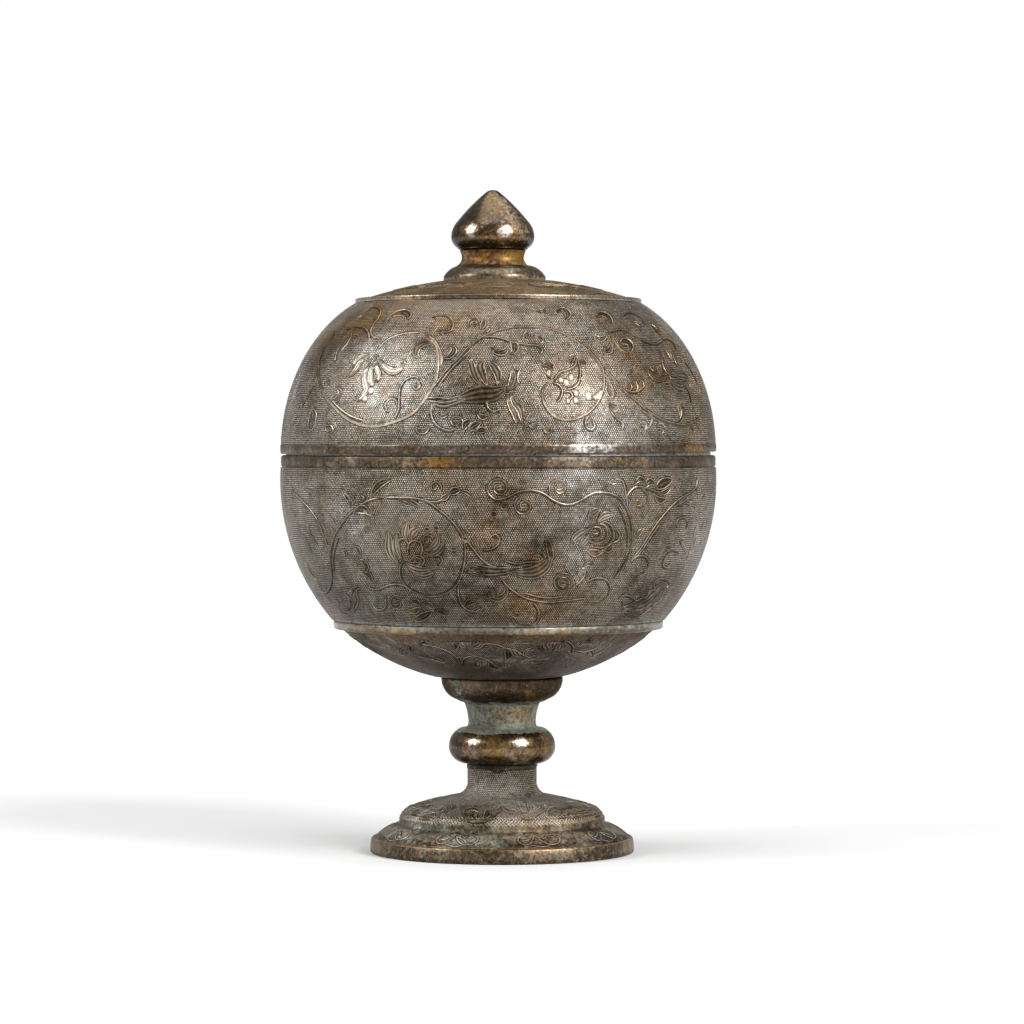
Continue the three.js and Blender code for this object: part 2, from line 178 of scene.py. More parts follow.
class Bronze:
    """The nodes of one bronze skin, from its clouds of noise and the masks that its pieces hold."""

    def __init__(self, name, seed):
        self.material = bpy.data.materials.new(name)
        self.material.use_nodes = True
        self.seed = seed
        self.start = Link(self.material.node_tree)
        self.place = self.start.node("ShaderNodeTexCoord", output=3)
        self.middle = self.cloud(3.0, 6.0, 0.7, 0.2)
        self.fine = self.cloud(0.7, 5.0, 0.75, 0.3)

    def cloud(self, size, detail, harsh, shift):
        """Noise with lumps of this size in mm. No two shifts look alike."""
        inputs = {0: self.place, 1: (self.seed + shift, 0.37 * shift, 0.11 * self.seed)}
        shifted = self.start.node("ShaderNodeVectorMath", {"operation": "ADD"}, inputs)
        inputs = {"Vector": shifted, "Scale": 1.0 / (size * MM), "Detail": detail, "Roughness": harsh}
        return self.start.node("ShaderNodeTexNoise", None, inputs)

    def held(self, mask):
        return self.start.node("ShaderNodeAttribute", {"attribute_name": mask}, output=2)

    def metal(self, base):
        """The alloy under the films, a little rosy in some places and mossy in others."""
        rosy = tuple(share * part for share, part in zip(ROSY, base))
        mossy = tuple(share * part for share, part in zip(MOSSY, base))
        colour = (self.cloud(2.2, 4.0, 0.6, 0.7).clear(0.48, 0.62) * 0.8).over(base, rosy)
        return (self.cloud(2.6, 4.0, 0.6, 0.9).clear(0.50, 0.64) * 0.8).over(colour, mossy)

    def filmed(self, colour, shares):
        """Lays every film over its share, then soot in the pits and worn metal on the crests.
        Gives the colour and how dull the films are."""
        dull = 0.0
        for number, (film, (tint, size, dullness)) in enumerate(FILMS.items()):
            edge = FILM_EDGE - FILM_GROWTH * shares.get(film, 0.0)
            patches = self.cloud(size, 7.0, 0.75, 0.4 + 0.13 * number) * 0.75 + self.fine * 0.25
            cover = (patches + self.held(film) * FILM_PULL).clear(edge - 0.07, edge + 0.08)
            colour = (cover * 0.8).over(colour, tint)
            dull = (cover * dullness).math("MAXIMUM", dull)
        colour = (self.fine.clear(0.52, 0.36) * 0.6).over(colour, SOOT)
        return (self.fine.clear(0.56, 0.70) * 0.30).over(colour, WORN_AND_HIGHLIGHT), dull

    def grains(self, axis_x, radius_cubic):
        """How far a place in the ground is from the middle of its grain, in mm, and a chance from
        0 to 1 of each grain's own. The cubic gives the radius of the row that lies at an arc."""
        wave_size, wave = ROW_WAVES
        drift_size, drift = ROW_DRIFT
        arc_mm = self.held("arc_mm") + self.cloud(wave_size, 2.0, 0.5, 2.3) * wave
        row = (arc_mm / ROW_PITCH).math("FLOOR")
        row_arc = (row + 0.5) * ROW_PITCH
        radius = 0.0
        for value in radius_cubic:
            radius = row_arc * radius + float(value)
        count = (radius * (2.0 * math.pi / PUNCH_PITCH)).math("ROUND")
        east = self.start.node("ShaderNodeSeparateXYZ", None, {0: self.place}, output=0)
        north = self.start.node("ShaderNodeSeparateXYZ", None, {0: self.place}, output=1)
        angle = (east - axis_x * MM).math("ARCTAN2", north * -1.0) / (2.0 * math.pi)
        cell = angle * count + row * 0.5 + self.cloud(drift_size, 2.0, 0.5, 1.9) * drift
        across = (cell.math("FRACT") - 0.5) * PUNCH_PITCH
        along = ((arc_mm / ROW_PITCH).math("FRACT") - 0.5) * ROW_PITCH
        away = (across * across + along * along).math("SQRT")
        number = self.start.node("ShaderNodeCombineXYZ", None, {0: cell.math("FLOOR"), 1: row})
        return away, self.start.node("ShaderNodeTexWhiteNoise", None, {"Vector": number}, output=0)

    def chased(self, colour, away, chance):
        """Rings each grain with soot, rubs its top, stains the strokes, brightens their crests with
        wear and painted highlight and darkens their cut lines with dirt and painted shade. Gives
        the colour and the height of the grains."""
        ground = 1.0 - self.held("plain")
        wear_and_highlight = self.cloud(7.0, 4.0, 0.6, 1.3).clear(0.40, 0.62)
        top = away.clear(*GRAIN_TOP) * ground
        ring = away.clear(*GRAIN_RING) * ground
        colour = (ring * (chance * 0.15 + 0.70)).over(colour, SOOT)
        colour = (top * (wear_and_highlight * 0.25 + chance * 0.45 + 0.12)).over(colour, WORN_AND_HIGHLIGHT)
        # Less stain where the pale tone lays its painted highlight.
        stained = self.held("hollow") * (1.0 - self.held("pale_and_highlight") * 0.6)
        colour = (stained * 0.92).over(colour, HOLLOW_STAIN)
        colour = (stained * self.middle.clear(0.50, 0.64) * 0.55).over(colour, FILMS["gold"][0])
        # Painted highlight and wear on the strokes' lit crests.
        colour = (self.held("lit") * (wear_and_highlight * 0.30 + chance * 0.2 + 0.26)).over(colour, WORN_AND_HIGHLIGHT)
        # The cut lines darkened with dirt and painted shade.
        return (self.held("groove_dirt_and_shade") * 0.94).over(colour, GROOVE_DIRT_AND_SHADE), top * (chance * 0.3 + 0.8)

    def toned(self, colour):
        """Shades the colour in soft patches, and then by the masks of the tones."""
        wide = self.cloud(13.0, 5.0, 0.6, 0.1)
        mottled = (wide * 0.40 + self.middle * 0.36 + self.fine * 0.24).clear(0.55, 0.43)
        colour = (mottled * 0.78).over(colour, SHADED, "MULTIPLY")
        for number, (tone, tint) in enumerate(TONES.items()):
            uneven = self.cloud(2.6, 6.0, 0.7, 1.5 + 0.17 * number).clear(0.38, 0.58)
            colour = (self.held(tone) * (uneven * 0.8 + 0.2)).over(colour, tint, "MULTIPLY")
        return colour


def old_bronze(name, base, rough, seed, punched=None, grain=1.0, wax=0.0, edge_shine=1.0, **shares):
    """Old bronze under films that each cover a share of it, and more of it where a mask of the
    film's name says so. A punched sheet has rows of small round grains, each ringed by a punch,
    for which punched gives the axis in mm and the cubic of the rows' radius."""
    bronze = Bronze(name, seed)
    colour, dull = bronze.filmed(bronze.metal(base), shares)
    height = bronze.middle * 0.2 + bronze.fine * 0.35 + dull * 0.15
    if punched is not None:
        colour, relief = bronze.chased(colour, *bronze.grains(*punched))
        height = height + relief
    settings = {"Strength": 0.9, "Distance": GRAIN_TALL * grain * MM, "Height": height}
    surface = {
        "Base Color": bronze.toned(colour),
        "Metallic": 1.0 - dull * 0.75,
        "Roughness": bronze.fine * 0.16 + dull * 0.35 + (rough - 0.08),
        "Normal": bronze.start.node("ShaderNodeBump", None, settings),
    }
    tree = bronze.material.node_tree
    shader = tree.nodes["Principled BSDF"]
    for socket, link in surface.items():
        tree.links.new(link.socket, shader.inputs[socket])
    shader.inputs["Coat Weight"].default_value = wax
    shader.inputs["Coat Roughness"].default_value = WAX_ROUGH
    shader.inputs["Specular Tint"].default_value = (edge_shine, edge_shine, edge_shine, 1.0)
    return bronze.material


def arc(start, end, bulge, steps):
    """Points after start on the arc to end. Bulge is the tangent of a quarter of its angle."""
    start = np.array(start, float)
    end = np.array(end, float)
    chord = end - start
    half = 2.0 * math.atan(bulge)
    centre = (start + end) / 2.0 + np.array((-chord[1], chord[0])) * 0.5 / math.tan(half)
    radial = start - centre
    square = np.array((-radial[1], radial[0]))
    turns = 2.0 * half * np.arange(1, steps + 1) / steps
    points = [centre + radial * math.cos(turn) + square * math.sin(turn) for turn in turns]
    points[-1] = end
    return [tuple(point) for point in points]


def solid(name, points, faces):
    """Mesh object of points in mm, with soft shading that stays sharp at its edges."""
    mesh = bpy.data.meshes.new(name)
    mesh.from_pydata((np.asarray(points) * MM).tolist(), [], faces)
    mesh.polygons.foreach_set("use_smooth", np.ones(len(faces), bool))
    mesh.set_sharp_from_angle(angle=math.radians(SHARP_EDGE))
    piece = bpy.data.objects.new(name, mesh)
    bpy.context.scene.collection.objects.link(piece)
    return piece


def turned(name, outline, centre_x, segments):
    """A closed outline of radius and height in mm, turned about an upright axis."""
    radius, height = np.array(outline, float).T
    rings = len(outline)
    angles = 2.0 * math.pi * np.arange(segments) / segments
    x = centre_x + np.outer(np.sin(angles), radius)
    y = -np.outer(np.cos(angles), radius)
    points = np.stack([x, y, np.broadcast_to(height, x.shape)], axis=-1).reshape(-1, 3)
    segment, ring = np.meshgrid(np.arange(segments), np.arange(rings), indexing="ij")
    after = (segment + 1) % segments
    up = (ring + 1) % rings
    corners = [segment * rings + ring, after * rings + ring, after * rings + up, segment * rings + up]
    return solid(name, points, np.stack(corners, axis=-1).reshape(-1, 4).tolist())


def corners_mm(piece):
    """The piece's vertices, in mm."""
    points = np.empty(len(piece.data.vertices) * 3)
    piece.data.vertices.foreach_get("co", points)
    return points.reshape(-1, 3) / MM


def write_mask(piece, mask, values):
    held = piece.data.attributes.get(mask) or piece.data.attributes.new(mask, "FLOAT", "POINT")
    held.data.foreach_set("value", np.asarray(values, np.float32))


def stain(piece, mask, spots=(), rings=()):
    """Writes a mask of soft spots, each a place in mm, a reach and a strength, and of soft rings,
    each a low and a high height in mm and a strength."""
    points = corners_mm(piece)
    amount = np.zeros(len(points))
    for place, reach, strength in spots:
        away = np.linalg.norm(points - place, axis=1) / reach
        amount += strength * np.exp(-away * away)
    for low, high, strength in rings:
        inside = np.minimum(points[:, 2] - low, high - points[:, 2])
        amount += strength * np.clip(inside / SOFT_EDGE + 0.5, 0.0, 1.0)
    write_mask(piece, mask, amount)


def fit(piece, body, slot, material, *nodes):
    """The piece rides on its body, takes its finish and stands for its nodes."""
    piece.data.materials.append(material)
    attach(piece, body)
    if nodes:
        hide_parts(*nodes)


edge_skin = old_bronze("edge_bronze", (0.235, 0.175, 0.115, 1.0), 0.38, 0.5, grain=0.6,
                       brown=0.42, tan=0.40, green=0.30, gold=0.25)
edge_foot = (EDGE_RADIUS - EDGE_BEVEL, EDGE_LOW)
edge_side = (EDGE_RADIUS - 0.19, 2.95)
outline = [(EDGE_RADIUS - EDGE_WIDE, EDGE_LOW), edge_foot]
outline += arc(edge_foot, (EDGE_RADIUS, EDGE_LOW + EDGE_BEVEL), 0.35, 4)
outline += [(EDGE_RADIUS, 1.2), (EDGE_RADIUS - 0.07, 2.2), edge_side]
outline += arc(edge_side, (EDGE_RADIUS - 0.7, EDGE_TOP), 0.35, 5) + [(EDGE_RADIUS - EDGE_LIP, EDGE_TOP)]
outline += [(EDGE_RADIUS - EDGE_LIP, SHEET_LOW), (EDGE_RADIUS - EDGE_WIDE, SHEET_LOW)]
foot_ring = turned("foot_edge_ring", outline, STEM_X, 240)
stain(foot_ring, "gold", rings=[(3.1, 3.6, 1.2)])
stain(foot_ring, "brown", [((-22, -20, 2), 6, 0.3), ((22, -20, 2), 6, 0.4)], [(-0.5, 0.5, 0.6)])
# Painted reflections: pale spots on the front of the top edge.
stain(foot_ring, "pale_and_highlight", [((-12, -27, 2.6), 4, 0.5), ((13, -27, 2.4), 5, 0.5)])
fit(foot_ring, "cup", "polished_bronze", edge_skin, "foot_rim")


# Foot
# One raised sheet: flange, upright wall, dome and lower stem. The ground is ring-punched
# between small chased flowers, under a grey-green crust, and its edge is soldered in the ring.

SHEET = 1.1
DOME_RADIUS = 23.3
DOME_FOOT = 7.6
DOME_SHOULDER = 2.7
DOME_TOP = (10.1, 12.95)
STEM_RADIUS = 7.85
STEM_BORE = 3.4
FLARE_TALL = 2.5
WASHER_SEAT = span("foot_washer")[1]

# The camera, in mm from the middle of the cup's foot, its middle and horizon in the picture,
# and its lens, as the distance in mm at which a pixel is one millimetre wide.
CAMERA_AWAY = 907.0
CAMERA_RIGHT = 3.1
CAMERA_HIGH = 93.9
MIDDLE_PX = 512.0
HORIZON_PX = 437.0
LENS_PX = 4000.0
MM_PER_PX = CAMERA_AWAY / LENS_PX

# A sight line is followed in steps over this depth in front of the axis, and a place on it that
# is above or below the sheet counts as far outside.
SIGHT_DEEP = 60.0
SIGHT_STEPS = 1500
FAR_OUTSIDE = 99.0

# Half-width in mm of a vine's stem, the half-width under which a brim narrows with its stroke,
# how deep a stroke's sides stand in the sheet, and the share of its reach that a spiral loses.
VINE_LINE = 0.26
BRIM_LINE = 0.5
ROOT = 0.03
SPIRAL_LOSS = 0.72

# Least half-width in mm of a leaf, the half-width of a spiral's hollow and what it gains for
# each pixel of the spiral's radius, and the least radius in pixels of its bead and the bead's
# share of the spiral's radius.
LEAST_LINE = 0.03
HOLLOW_LINE = 0.05
HOLLOW_GROWTH = 0.035
LEAST_BEAD = 1.6
BEAD_SHARE = 0.22

# How far in mm a vertex may be from the outline and still belong to the punched face.
FACE_NEAR = 0.05

# Cross-sections of a chased stroke: place across as a share of its half-width and then in mm,
# height in mm, and how dark (dirt in the cut lines and painted shade), how bright (wear and
# painted highlight on the crests) and how stained it is there.
SIDE = [
    (1.0, -0.02, 0.025, 0.8, 0.0, 0.0),
    (1.0, 0.15, 0.012, 1.0, 0.0, 0.0),
    (1.0, 0.30, -0.06, 1.0, 0.0, 0.0),
]


def mirrored(section):
    return [(-share, -extra, *rest) for share, extra, *rest in section[::-1]]


def grooved(inside):
    return mirrored(SIDE) + inside + SIDE


def ridges(count, lit, stained):
    """Fine ridges side by side, with dark lines between them."""
    inside = []
    for number in range(2 * count - 1):
        share = -0.85 + 1.7 * number / (2 * count - 2)
        ridge = (0.12, 0.0, lit, stained) if number % 2 == 0 else (0.03, 0.6, 0.0, 1.0)
        inside.append((share, 0.0, *ridge))
    return inside


# A vine's stem: worn bright with painted highlight along one side, and stained brown with painted shade and
# a darker cut along the other, as if lit from the first side.
VINE = grooved([
    (-0.8, 0.0, 0.07, 0.1, 0.8, 0.0),
    (-0.4, 0.0, 0.12, 0.0, 0.6, 0.1),
    (0.05, 0.0, 0.11, 0.0, 0.0, 0.9),
    (0.55, 0.0, 0.06, 0.4, 0.0, 0.9),
    (0.9, 0.0, 0.03, 0.6, 0.2, 0.2),
])
OUTLINE = grooved([
    (-0.6, 0.0, 0.07, 0.0, 1.0, 0.0),
    (0.0, 0.0, 0.11, 0.0, 1.0, 0.0),
    (0.6, 0.0, 0.07, 0.0, 1.0, 0.0),
])
PETAL = grooved(ridges(3, 0.9, 0.15))
BOSS = grooved([
    (-0.75, 0.0, 0.05, 0.1, 0.3, 0.4),
    (-0.3, 0.0, 0.11, 0.0, 0.35, 0.2),
    (0.3, 0.0, 0.11, 0.0, 0.35, 0.2),
    (0.75, 0.0, 0.05, 0.1, 0.3, 0.4),
])
FEATHER = grooved(ridges(4, 0.6, 0.5))
BRIM = [(1.0, -0.30, 0.03, 0.2, 0.0, 1.0), (1.0, -0.12, 0.13, 0.0, 1.0, 0.0)]
VEIN = [
    (-0.12, 0.0, 0.02, 0.3, 0.0, 1.0),
    (0.0, 0.0, 0.07, 0.0, 0.3, 0.6),
    (0.12, 0.0, 0.02, 0.3, 0.0, 1.0),
]
LEAF = grooved(mirrored(BRIM) + VEIN + BRIM)
CURL = [(0.0, extra, *rest) for share, extra, *rest in mirrored(SIDE)] + [
    (0.0, 0.10, 0.13, 0.0, 1.0, 0.0),
    (0.0, 0.24, 0.03, 0.4, 0.0, 0.7),
    (1.0, 0.24, 0.02, 0.1, 0.0, 1.0),
    (1.0, 0.34, 0.012, 0.8, 0.0, 0.0),
    (1.0, 0.42, -0.06, 0.8, 0.0, 0.0),
]


def rounded(path, steps=6):
    """A smooth path through the points given."""
    path = np.array(path, float)
    padded = np.vstack([2 * path[0] - path[1], path, 2 * path[-1] - path[-2]])
    share = np.linspace(0.0, 1.0, steps, endpoint=False)[:, None]
    parts = []
    for p0, p1, p2, p3 in zip(padded[:-3], padded[1:-2], padded[2:-1], padded[3:]):
        bend = (2 * p0 - 5 * p1 + 4 * p2 - p3) * share**2 + (3 * p1 - p0 - 3 * p2 + p3) * share**3
        parts.append(0.5 * (2 * p1 + (p2 - p0) * share + bend))
    return np.vstack(parts + [path[-1:]])


class Chasing:
    """Scrolls chased in an upright turned sheet: low ridges with a dark groove on both sides,
    their dark partly dirt and partly painted shade.
    They are drawn as seen from the front, in pixels of the picture, or by angle and arc."""

    def __init__(self, outline, axis_x):
        self.axis_x = axis_x
        self.radius, self.height = np.array(outline, float).T
        steps = np.hypot(np.diff(self.radius), np.diff(self.height))
        self.arc = np.concatenate([[0.0], np.cumsum(steps)])
        outwards = np.stack([np.gradient(self.height), -np.gradient(self.radius)])
        self.outwards = outwards / np.linalg.norm(outwards, axis=0)
        self.turn = 0.0
        self.points = []
        self.faces = []
        self.marks = []

    def punching(self):
        """Axis and cubic of radius over arc, which give each row of the ground whole punches."""
        return self.axis_x, np.polyfit(self.arc, self.radius, 3)

    def seen(self, path):
        """Angle and arc of the places on the sheet that show at these pixels."""
        path = np.array(path, float)
        ahead = np.linspace(CAMERA_AWAY - SIGHT_DEEP, CAMERA_AWAY, SIGHT_STEPS)
        x = CAMERA_RIGHT - self.axis_x + np.outer((path[:, 0] - MIDDLE_PX) / LENS_PX, ahead)
        y = np.broadcast_to(ahead - CAMERA_AWAY, x.shape)
        z = CAMERA_HIGH + np.outer((HORIZON_PX - path[:, 1]) / LENS_PX, ahead)
        order = np.argsort(self.height, kind="stable")
        outside = np.hypot(x, y) - np.interp(z, self.height[order], self.radius[order])
        outside[(z < self.height.min()) | (z > self.height.max())] = FAR_OUTSIDE
        hit = outside.min(axis=1) < 0.0
        met = np.where(hit, np.argmax(outside < 0.0, axis=1), outside.argmin(axis=1))
        rows = np.arange(len(path))
        angle = np.arctan2(x[rows, met], -y[rows, met])
        along = np.interp(z[rows, met], self.height[order], self.arc[order])
        return np.stack([angle + self.turn, along], axis=1)

    def stroke(self, path, half_widths, section):
        """Lays a cross-section along a path of angle and arc, as one closed strip."""
        path = np.array(path, float)
        half_widths = np.broadcast_to(half_widths, (len(path),))
        shares, extras, heights, *marks = np.array(section, float).T
        girth = np.interp(path[:, 1], self.arc, self.radius)
        ahead = np.stack([np.gradient(path[:, 0]) * girth, np.gradient(path[:, 1])], axis=1)
        ahead /= np.maximum(np.linalg.norm(ahead, axis=1, keepdims=True), 1e-9)
        narrow = np.clip(half_widths / BRIM_LINE, 0.25, 1.0)[:, None]
        inner = np.where(shares * extras < 0.0, narrow, 1.0)
        across = half_widths[:, None] * shares + extras * inner
        angle = path[:, :1] + across * ahead[:, 1:] / girth[:, None]
        along = np.clip(path[:, 1:] - across * ahead[:, :1], 0.0, self.arc[-1])
        lift = np.broadcast_to(heights, across.shape).copy()
        lift[[0, -1]] = np.minimum(lift[[0, -1]], -ROOT)
        out, up = [np.interp(along, self.arc, part) for part in self.outwards]
        radius = np.interp(along, self.arc, self.radius) + lift * out
        height = np.interp(along, self.arc, self.height) + lift * up
        x = self.axis_x + radius * np.sin(angle)
        marks = [np.broadcast_to(mark, across.shape) for mark in marks]
        self.add_strip(np.stack([x, -radius * np.cos(angle), height], axis=-1), np.stack(marks, axis=-1))

    def add_strip(self, rings, marks):
        """Adds a strip of rings of points, with a quad between each two and closed ends."""
        first = sum(len(part) for part in self.points)
        long, wide = rings.shape[:2]
        self.points.append(rings.reshape(-1, 3))
        self.marks.append(marks.reshape(-1, 3))
        for place in range(long - 1):
            low = first + place * wide
            self.faces += [
                (low + side, low + (side + 1) % wide, low + wide + (side + 1) % wide, low + wide + side)
                for side in range(wide)
            ]
        self.faces.append(tuple(range(first + wide - 1, first - 1, -1)))
        self.faces.append(tuple(range(first + (long - 1) * wide, first + long * wide)))

    def vine(self, path):
        """A stem of even width that tapers at both ends."""
        path = rounded(path)
        share = np.linspace(0.0, 1.0, len(path))
        taper = np.clip(12.0 * np.minimum(share, 1.0 - share), 0.3, 1.0)
        self.stroke(self.seen(path), VINE_LINE * taper, VINE)

    def leaf(self, path, width_px, section):
        """A leaf or petal along its path, fullest past its middle."""
        path = rounded(path, 5)
        share = np.linspace(0.0, 1.0, len(path))
        full = np.sin(math.pi * share**1.2) ** 0.8 * 0.5 * width_px * MM_PER_PX
        self.stroke(self.seen(path), np.maximum(full, LEAST_LINE), section)

    def bead(self, x, y, radius_px, section=LEAF):
        """A small round boss."""
        share = np.linspace(-0.98, 0.98, 7)
        path = np.stack([x + share * radius_px, np.full(7, float(y))], axis=1)
        self.stroke(self.seen(path), np.sqrt(1.0 - share**2) * radius_px * MM_PER_PX, section)

    def spiral(self, x, y, radius_px, turns, start, hand):
        """A tendril that winds in from the start angle, in degrees, to a bead. A dark hollow
        grows along its inner side."""
        share = np.linspace(0.0, 1.0, int(20 * turns) + 6)
        angle = math.radians(start) + hand * 2.0 * math.pi * turns * share
        reach = radius_px * (1.0 - SPIRAL_LOSS * share)
        path = np.stack([x + reach * np.cos(angle), y - reach * np.sin(angle)], axis=1)
        growth = np.sin(math.pi * np.clip(share * 1.1, 0.0, 1.0))
        hollow = HOLLOW_LINE + HOLLOW_GROWTH * radius_px * growth
        self.stroke(self.seen(path), hollow, CURL if hand < 0 else mirrored(CURL))
        self.bead(x, y, max(LEAST_BEAD, BEAD_SHARE * radius_px))

    def draw(self, design, repeats):
        """Draws a design this many times round the sheet."""
        for repeat in range(repeats):
            self.turn = repeat * 2.0 * math.pi / repeats
            for path in design["vines"].values():
                self.vine(path)
            for kind, section in (("leaves", LEAF), ("petals", PETAL), ("feathers", FEATHER)):
                for path, width_px in design.get(kind, {}).values():
                    self.leaf(path, width_px, section)
            for spiral in design["spirals"].values():
                self.spiral(*spiral)
            for kind, section in (("beads", LEAF), ("bosses", BOSS)):
                for bead in design.get(kind, {}).values():
                    self.bead(*bead, section)
        self.turn = 0.0

    def spots(self, seen_spots):
        """Soft spots for stain, from the places where they show in the picture, a reach in mm
        and a strength. They lie on the front, and half a turn round on the back."""
        placed = []
        for x, y, reach, strength in seen_spots.values():
            angle, along = self.seen([(x, y)])[0]
            radius = np.interp(along, self.arc, self.radius)
            height = np.interp(along, self.arc, self.height)
            for out in (radius, -radius):
                place = (self.axis_x + out * math.sin(angle), -out * math.cos(angle), height)
                placed.append((place, reach, strength))
        return placed

    def piece(self, name):
        """The strokes as one object, with the masks that its material reads."""
        made = solid(name, np.concatenate(self.points), self.faces)
        marks = np.concatenate(self.marks)
        for number, mask in enumerate(("groove_dirt_and_shade", "lit", "hollow")):
            write_mask(made, mask, marks[:, number])
        write_mask(made, "plain", np.ones(len(marks)))
        return made

    def rows(self, piece, plain=()):
        """Gives the sheet its arc, from its heights and radii, and its plain rings by arc."""
        x, y, z = corners_mm(piece).T
        radius = np.hypot(x - self.axis_x, y)
        nearest = np.empty(len(z), int)
        batch = 20000
        for first in range(0, len(z), batch):
            part = slice(first, first + batch)
            away = np.hypot(radius[part, None] - self.radius, z[part, None] - self.height)
            nearest[part] = away.argmin(axis=1)
        arc_mm = self.arc[nearest]
        off = np.hypot(radius - self.radius[nearest], z - self.height[nearest])
        flat = (off > FACE_NEAR).astype(float)
        for low, high in plain:
            flat[(arc_mm >= low) & (arc_mm <= high)] = 1.0
        write_mask(piece, "arc_mm", arc_mm)
        write_mask(piece, "plain", flat)


DOME_DESIGN = {
    "vines": {
        "left scroll": [(410, 812), (420, 816), (432, 814), (443, 808)],
        "left scroll inside": [(418, 818), (430, 819), (442, 815)],
        "middle scroll": [(462, 819), (474, 822.5), (486, 821), (495, 815), (503, 808)],
        "under the boat": [(500, 806), (507, 812), (518, 814), (525, 811)],
        "right scroll": [(520, 818), (530, 819), (540, 813), (550, 810), (560, 813)],
        "far right": [(560, 813), (572, 818), (584, 816), (594, 810)],
        "far right twig": [(572, 806), (582, 808), (590, 805)],
    },
    "leaves": {
        "comma": ([(466, 819), (466, 812), (473, 809), (481, 813)], 9),
        "comma's fellow": ([(482, 820), (487, 815), (487, 809)], 8),
        "boat": ([(501, 805), (509, 811), (519, 811)], 9),
        "left leaf": ([(418, 811), (427, 806), (437, 808)], 7),
        "left leaf low": ([(424, 815), (433, 812), (441, 812)], 6),
        "right leaf": ([(546, 816), (552, 809), (560, 808)], 8),
        "right leaf low": ([(556, 819), (564, 817), (571, 812)], 7),
        "far leaf": ([(584, 812), (592, 810), (599, 812)], 7),
    },
    "petals": {
        "flower left": ([(529, 813), (522, 810), (519, 805)], 8),
        "flower middle": ([(530, 813), (531, 807), (528, 803)], 8),
        "flower right": ([(531, 813), (538, 809), (542, 804)], 8),
        "left flower": ([(448, 812), (452, 807), (450, 803)], 7),
        "far flower": ([(574, 813), (580, 809), (588, 809)], 7),
    },
    "spirals": {
        "by the comma": (475, 816, 6.0, 1.2, 0, 1), "left": (443, 811, 5.0, 1.1, 120, -1),
        "right": (566, 812, 5.0, 1.1, 60, 1),
    },
    "beads": {
        "low": (512, 819, 1.8), "right": (545, 806, 1.6),
    },
}

dome_foot = (DOME_RADIUS, DOME_FOOT)
shoulder = (DOME_RADIUS - DOME_SHOULDER, DOME_FOOT + DOME_SHOULDER)
flare_top = (STEM_RADIUS, DOME_TOP[1] + FLARE_TALL)
flange = [(SHEET_RADIUS, EDGE_TOP)] + arc((SHEET_RADIUS, EDGE_TOP), (23.65, 6.42), 0.14, 16)
wall = [(23.4, 6.6), (DOME_RADIUS, 6.95), dome_foot]
dome = arc(dome_foot, shoulder, 0.25, 12) + arc(shoulder, DOME_TOP, 0.03, 24)
flare = arc(DOME_TOP, flare_top, -0.3, 10) + [(STEM_RADIUS, height) for height in (17.0, 18.5, FOOT_TOP)]
outside = flange + wall + dome + flare
foot_work = Chasing(outside, STEM_X)
foot_work.draw(DOME_DESIGN, 3)

# Each loop of a flange flower, in mm across and up from its middle.
FLANGE_LOOPS = {
    "left wing": [(-0.9, 4.1), (-1.5, 2.4), (-2.5, 1.1), (-3.9, 1.0), (-4.7, 2.1), (-4.6, 3.3), (-3.7, 4.2),
                  (-2.8, 3.9)],
    "right wing": [(1.6, 3.0), (2.3, 4.0), (3.5, 4.3), (4.7, 3.4), (4.8, 2.1), (3.9, 1.1), (2.4, 0.8),
                   (1.2, 1.3), (0.2, 2.4), (-0.5, 3.8)],
    "under": [(-2.3, 0.9), (-0.9, 0.4), (0.5, 0.2), (1.9, 0.6)],
    "inside": [(-0.2, 3.4), (0.8, 3.0), (1.8, 2.4), (2.4, 1.6)],
    "inside left": [(-3.6, 2.2), (-2.6, 2.4), (-1.7, 3.2)],
}
FLANGE_FLOWERS = 9
FLOWER_TURN = -22.0
FLOWER_RING = 26.5
FLOWER_RISE = 0.3
FLOWER_LINE = 0.21
for number in range(FLANGE_FLOWERS):
    middle = math.radians(FLOWER_TURN) + 2.0 * math.pi * number / FLANGE_FLOWERS
    for loop in FLANGE_LOOPS.values():
        loop = rounded(loop) * (1.0 / FLOWER_RING, 1.0) + (middle, FLOWER_RISE)
        foot_work.stroke(loop, FLOWER_LINE, OUTLINE)

# The rope round the wall's top: rows of short strands that lean one way and then the other.
ROPE_ROWS = 3
ROPE_TURNS = 170
ROPE_PITCH = 0.85
STRAND_TALL = 0.72
STRAND_LEAN = 0.35 / 23.0
STRAND_LINE = 0.15
for row in range(ROPE_ROWS):
    low = foot_work.arc[len(flange) + 2] + 0.15 + ROPE_PITCH * row
    for number in range(ROPE_TURNS):
        middle = 2.0 * math.pi * (number + 0.5 * row) / ROPE_TURNS
        lean = STRAND_LEAN if row % 2 else -STRAND_LEAN
        strand = [(middle - lean, low), (middle, low + STRAND_TALL / 2), (middle + lean, low + STRAND_TALL)]
        foot_work.stroke(strand, STRAND_LINE, OUTLINE)

shoulder_inside = (shoulder[0], shoulder[1] - SHEET)
wall_inside = DOME_RADIUS - SHEET
under = [(STEM_BORE, FOOT_TOP), (STEM_BORE, WASHER_SEAT), (7.7, WASHER_SEAT)]
under += arc((7.7, WASHER_SEAT), shoulder_inside, -0.055, 8)
under += arc(shoulder_inside, (wall_inside, DOME_FOOT), -0.2, 4)
under += [(wall_inside, 6.05), (26.15, SHEET_LOW), (SHEET_RADIUS, SHEET_LOW)]
foot_sheet = turned("foot_sheet", outside + under, STEM_X, 240)
foot_work.rows(foot_sheet, [(0.0, foot_work.arc[len(flange) + 6])])
foot_scrolls = foot_work.piece("foot_scrolls")
foot_skin = old_bronze("foot_bronze", (0.360, 0.312, 0.238, 1.0), 0.46, 0.3, foot_work.punching(),
                       edge_shine=0.6, brown=0.20, tan=0.40, green=0.34, gold=0.14, rust=0.06)
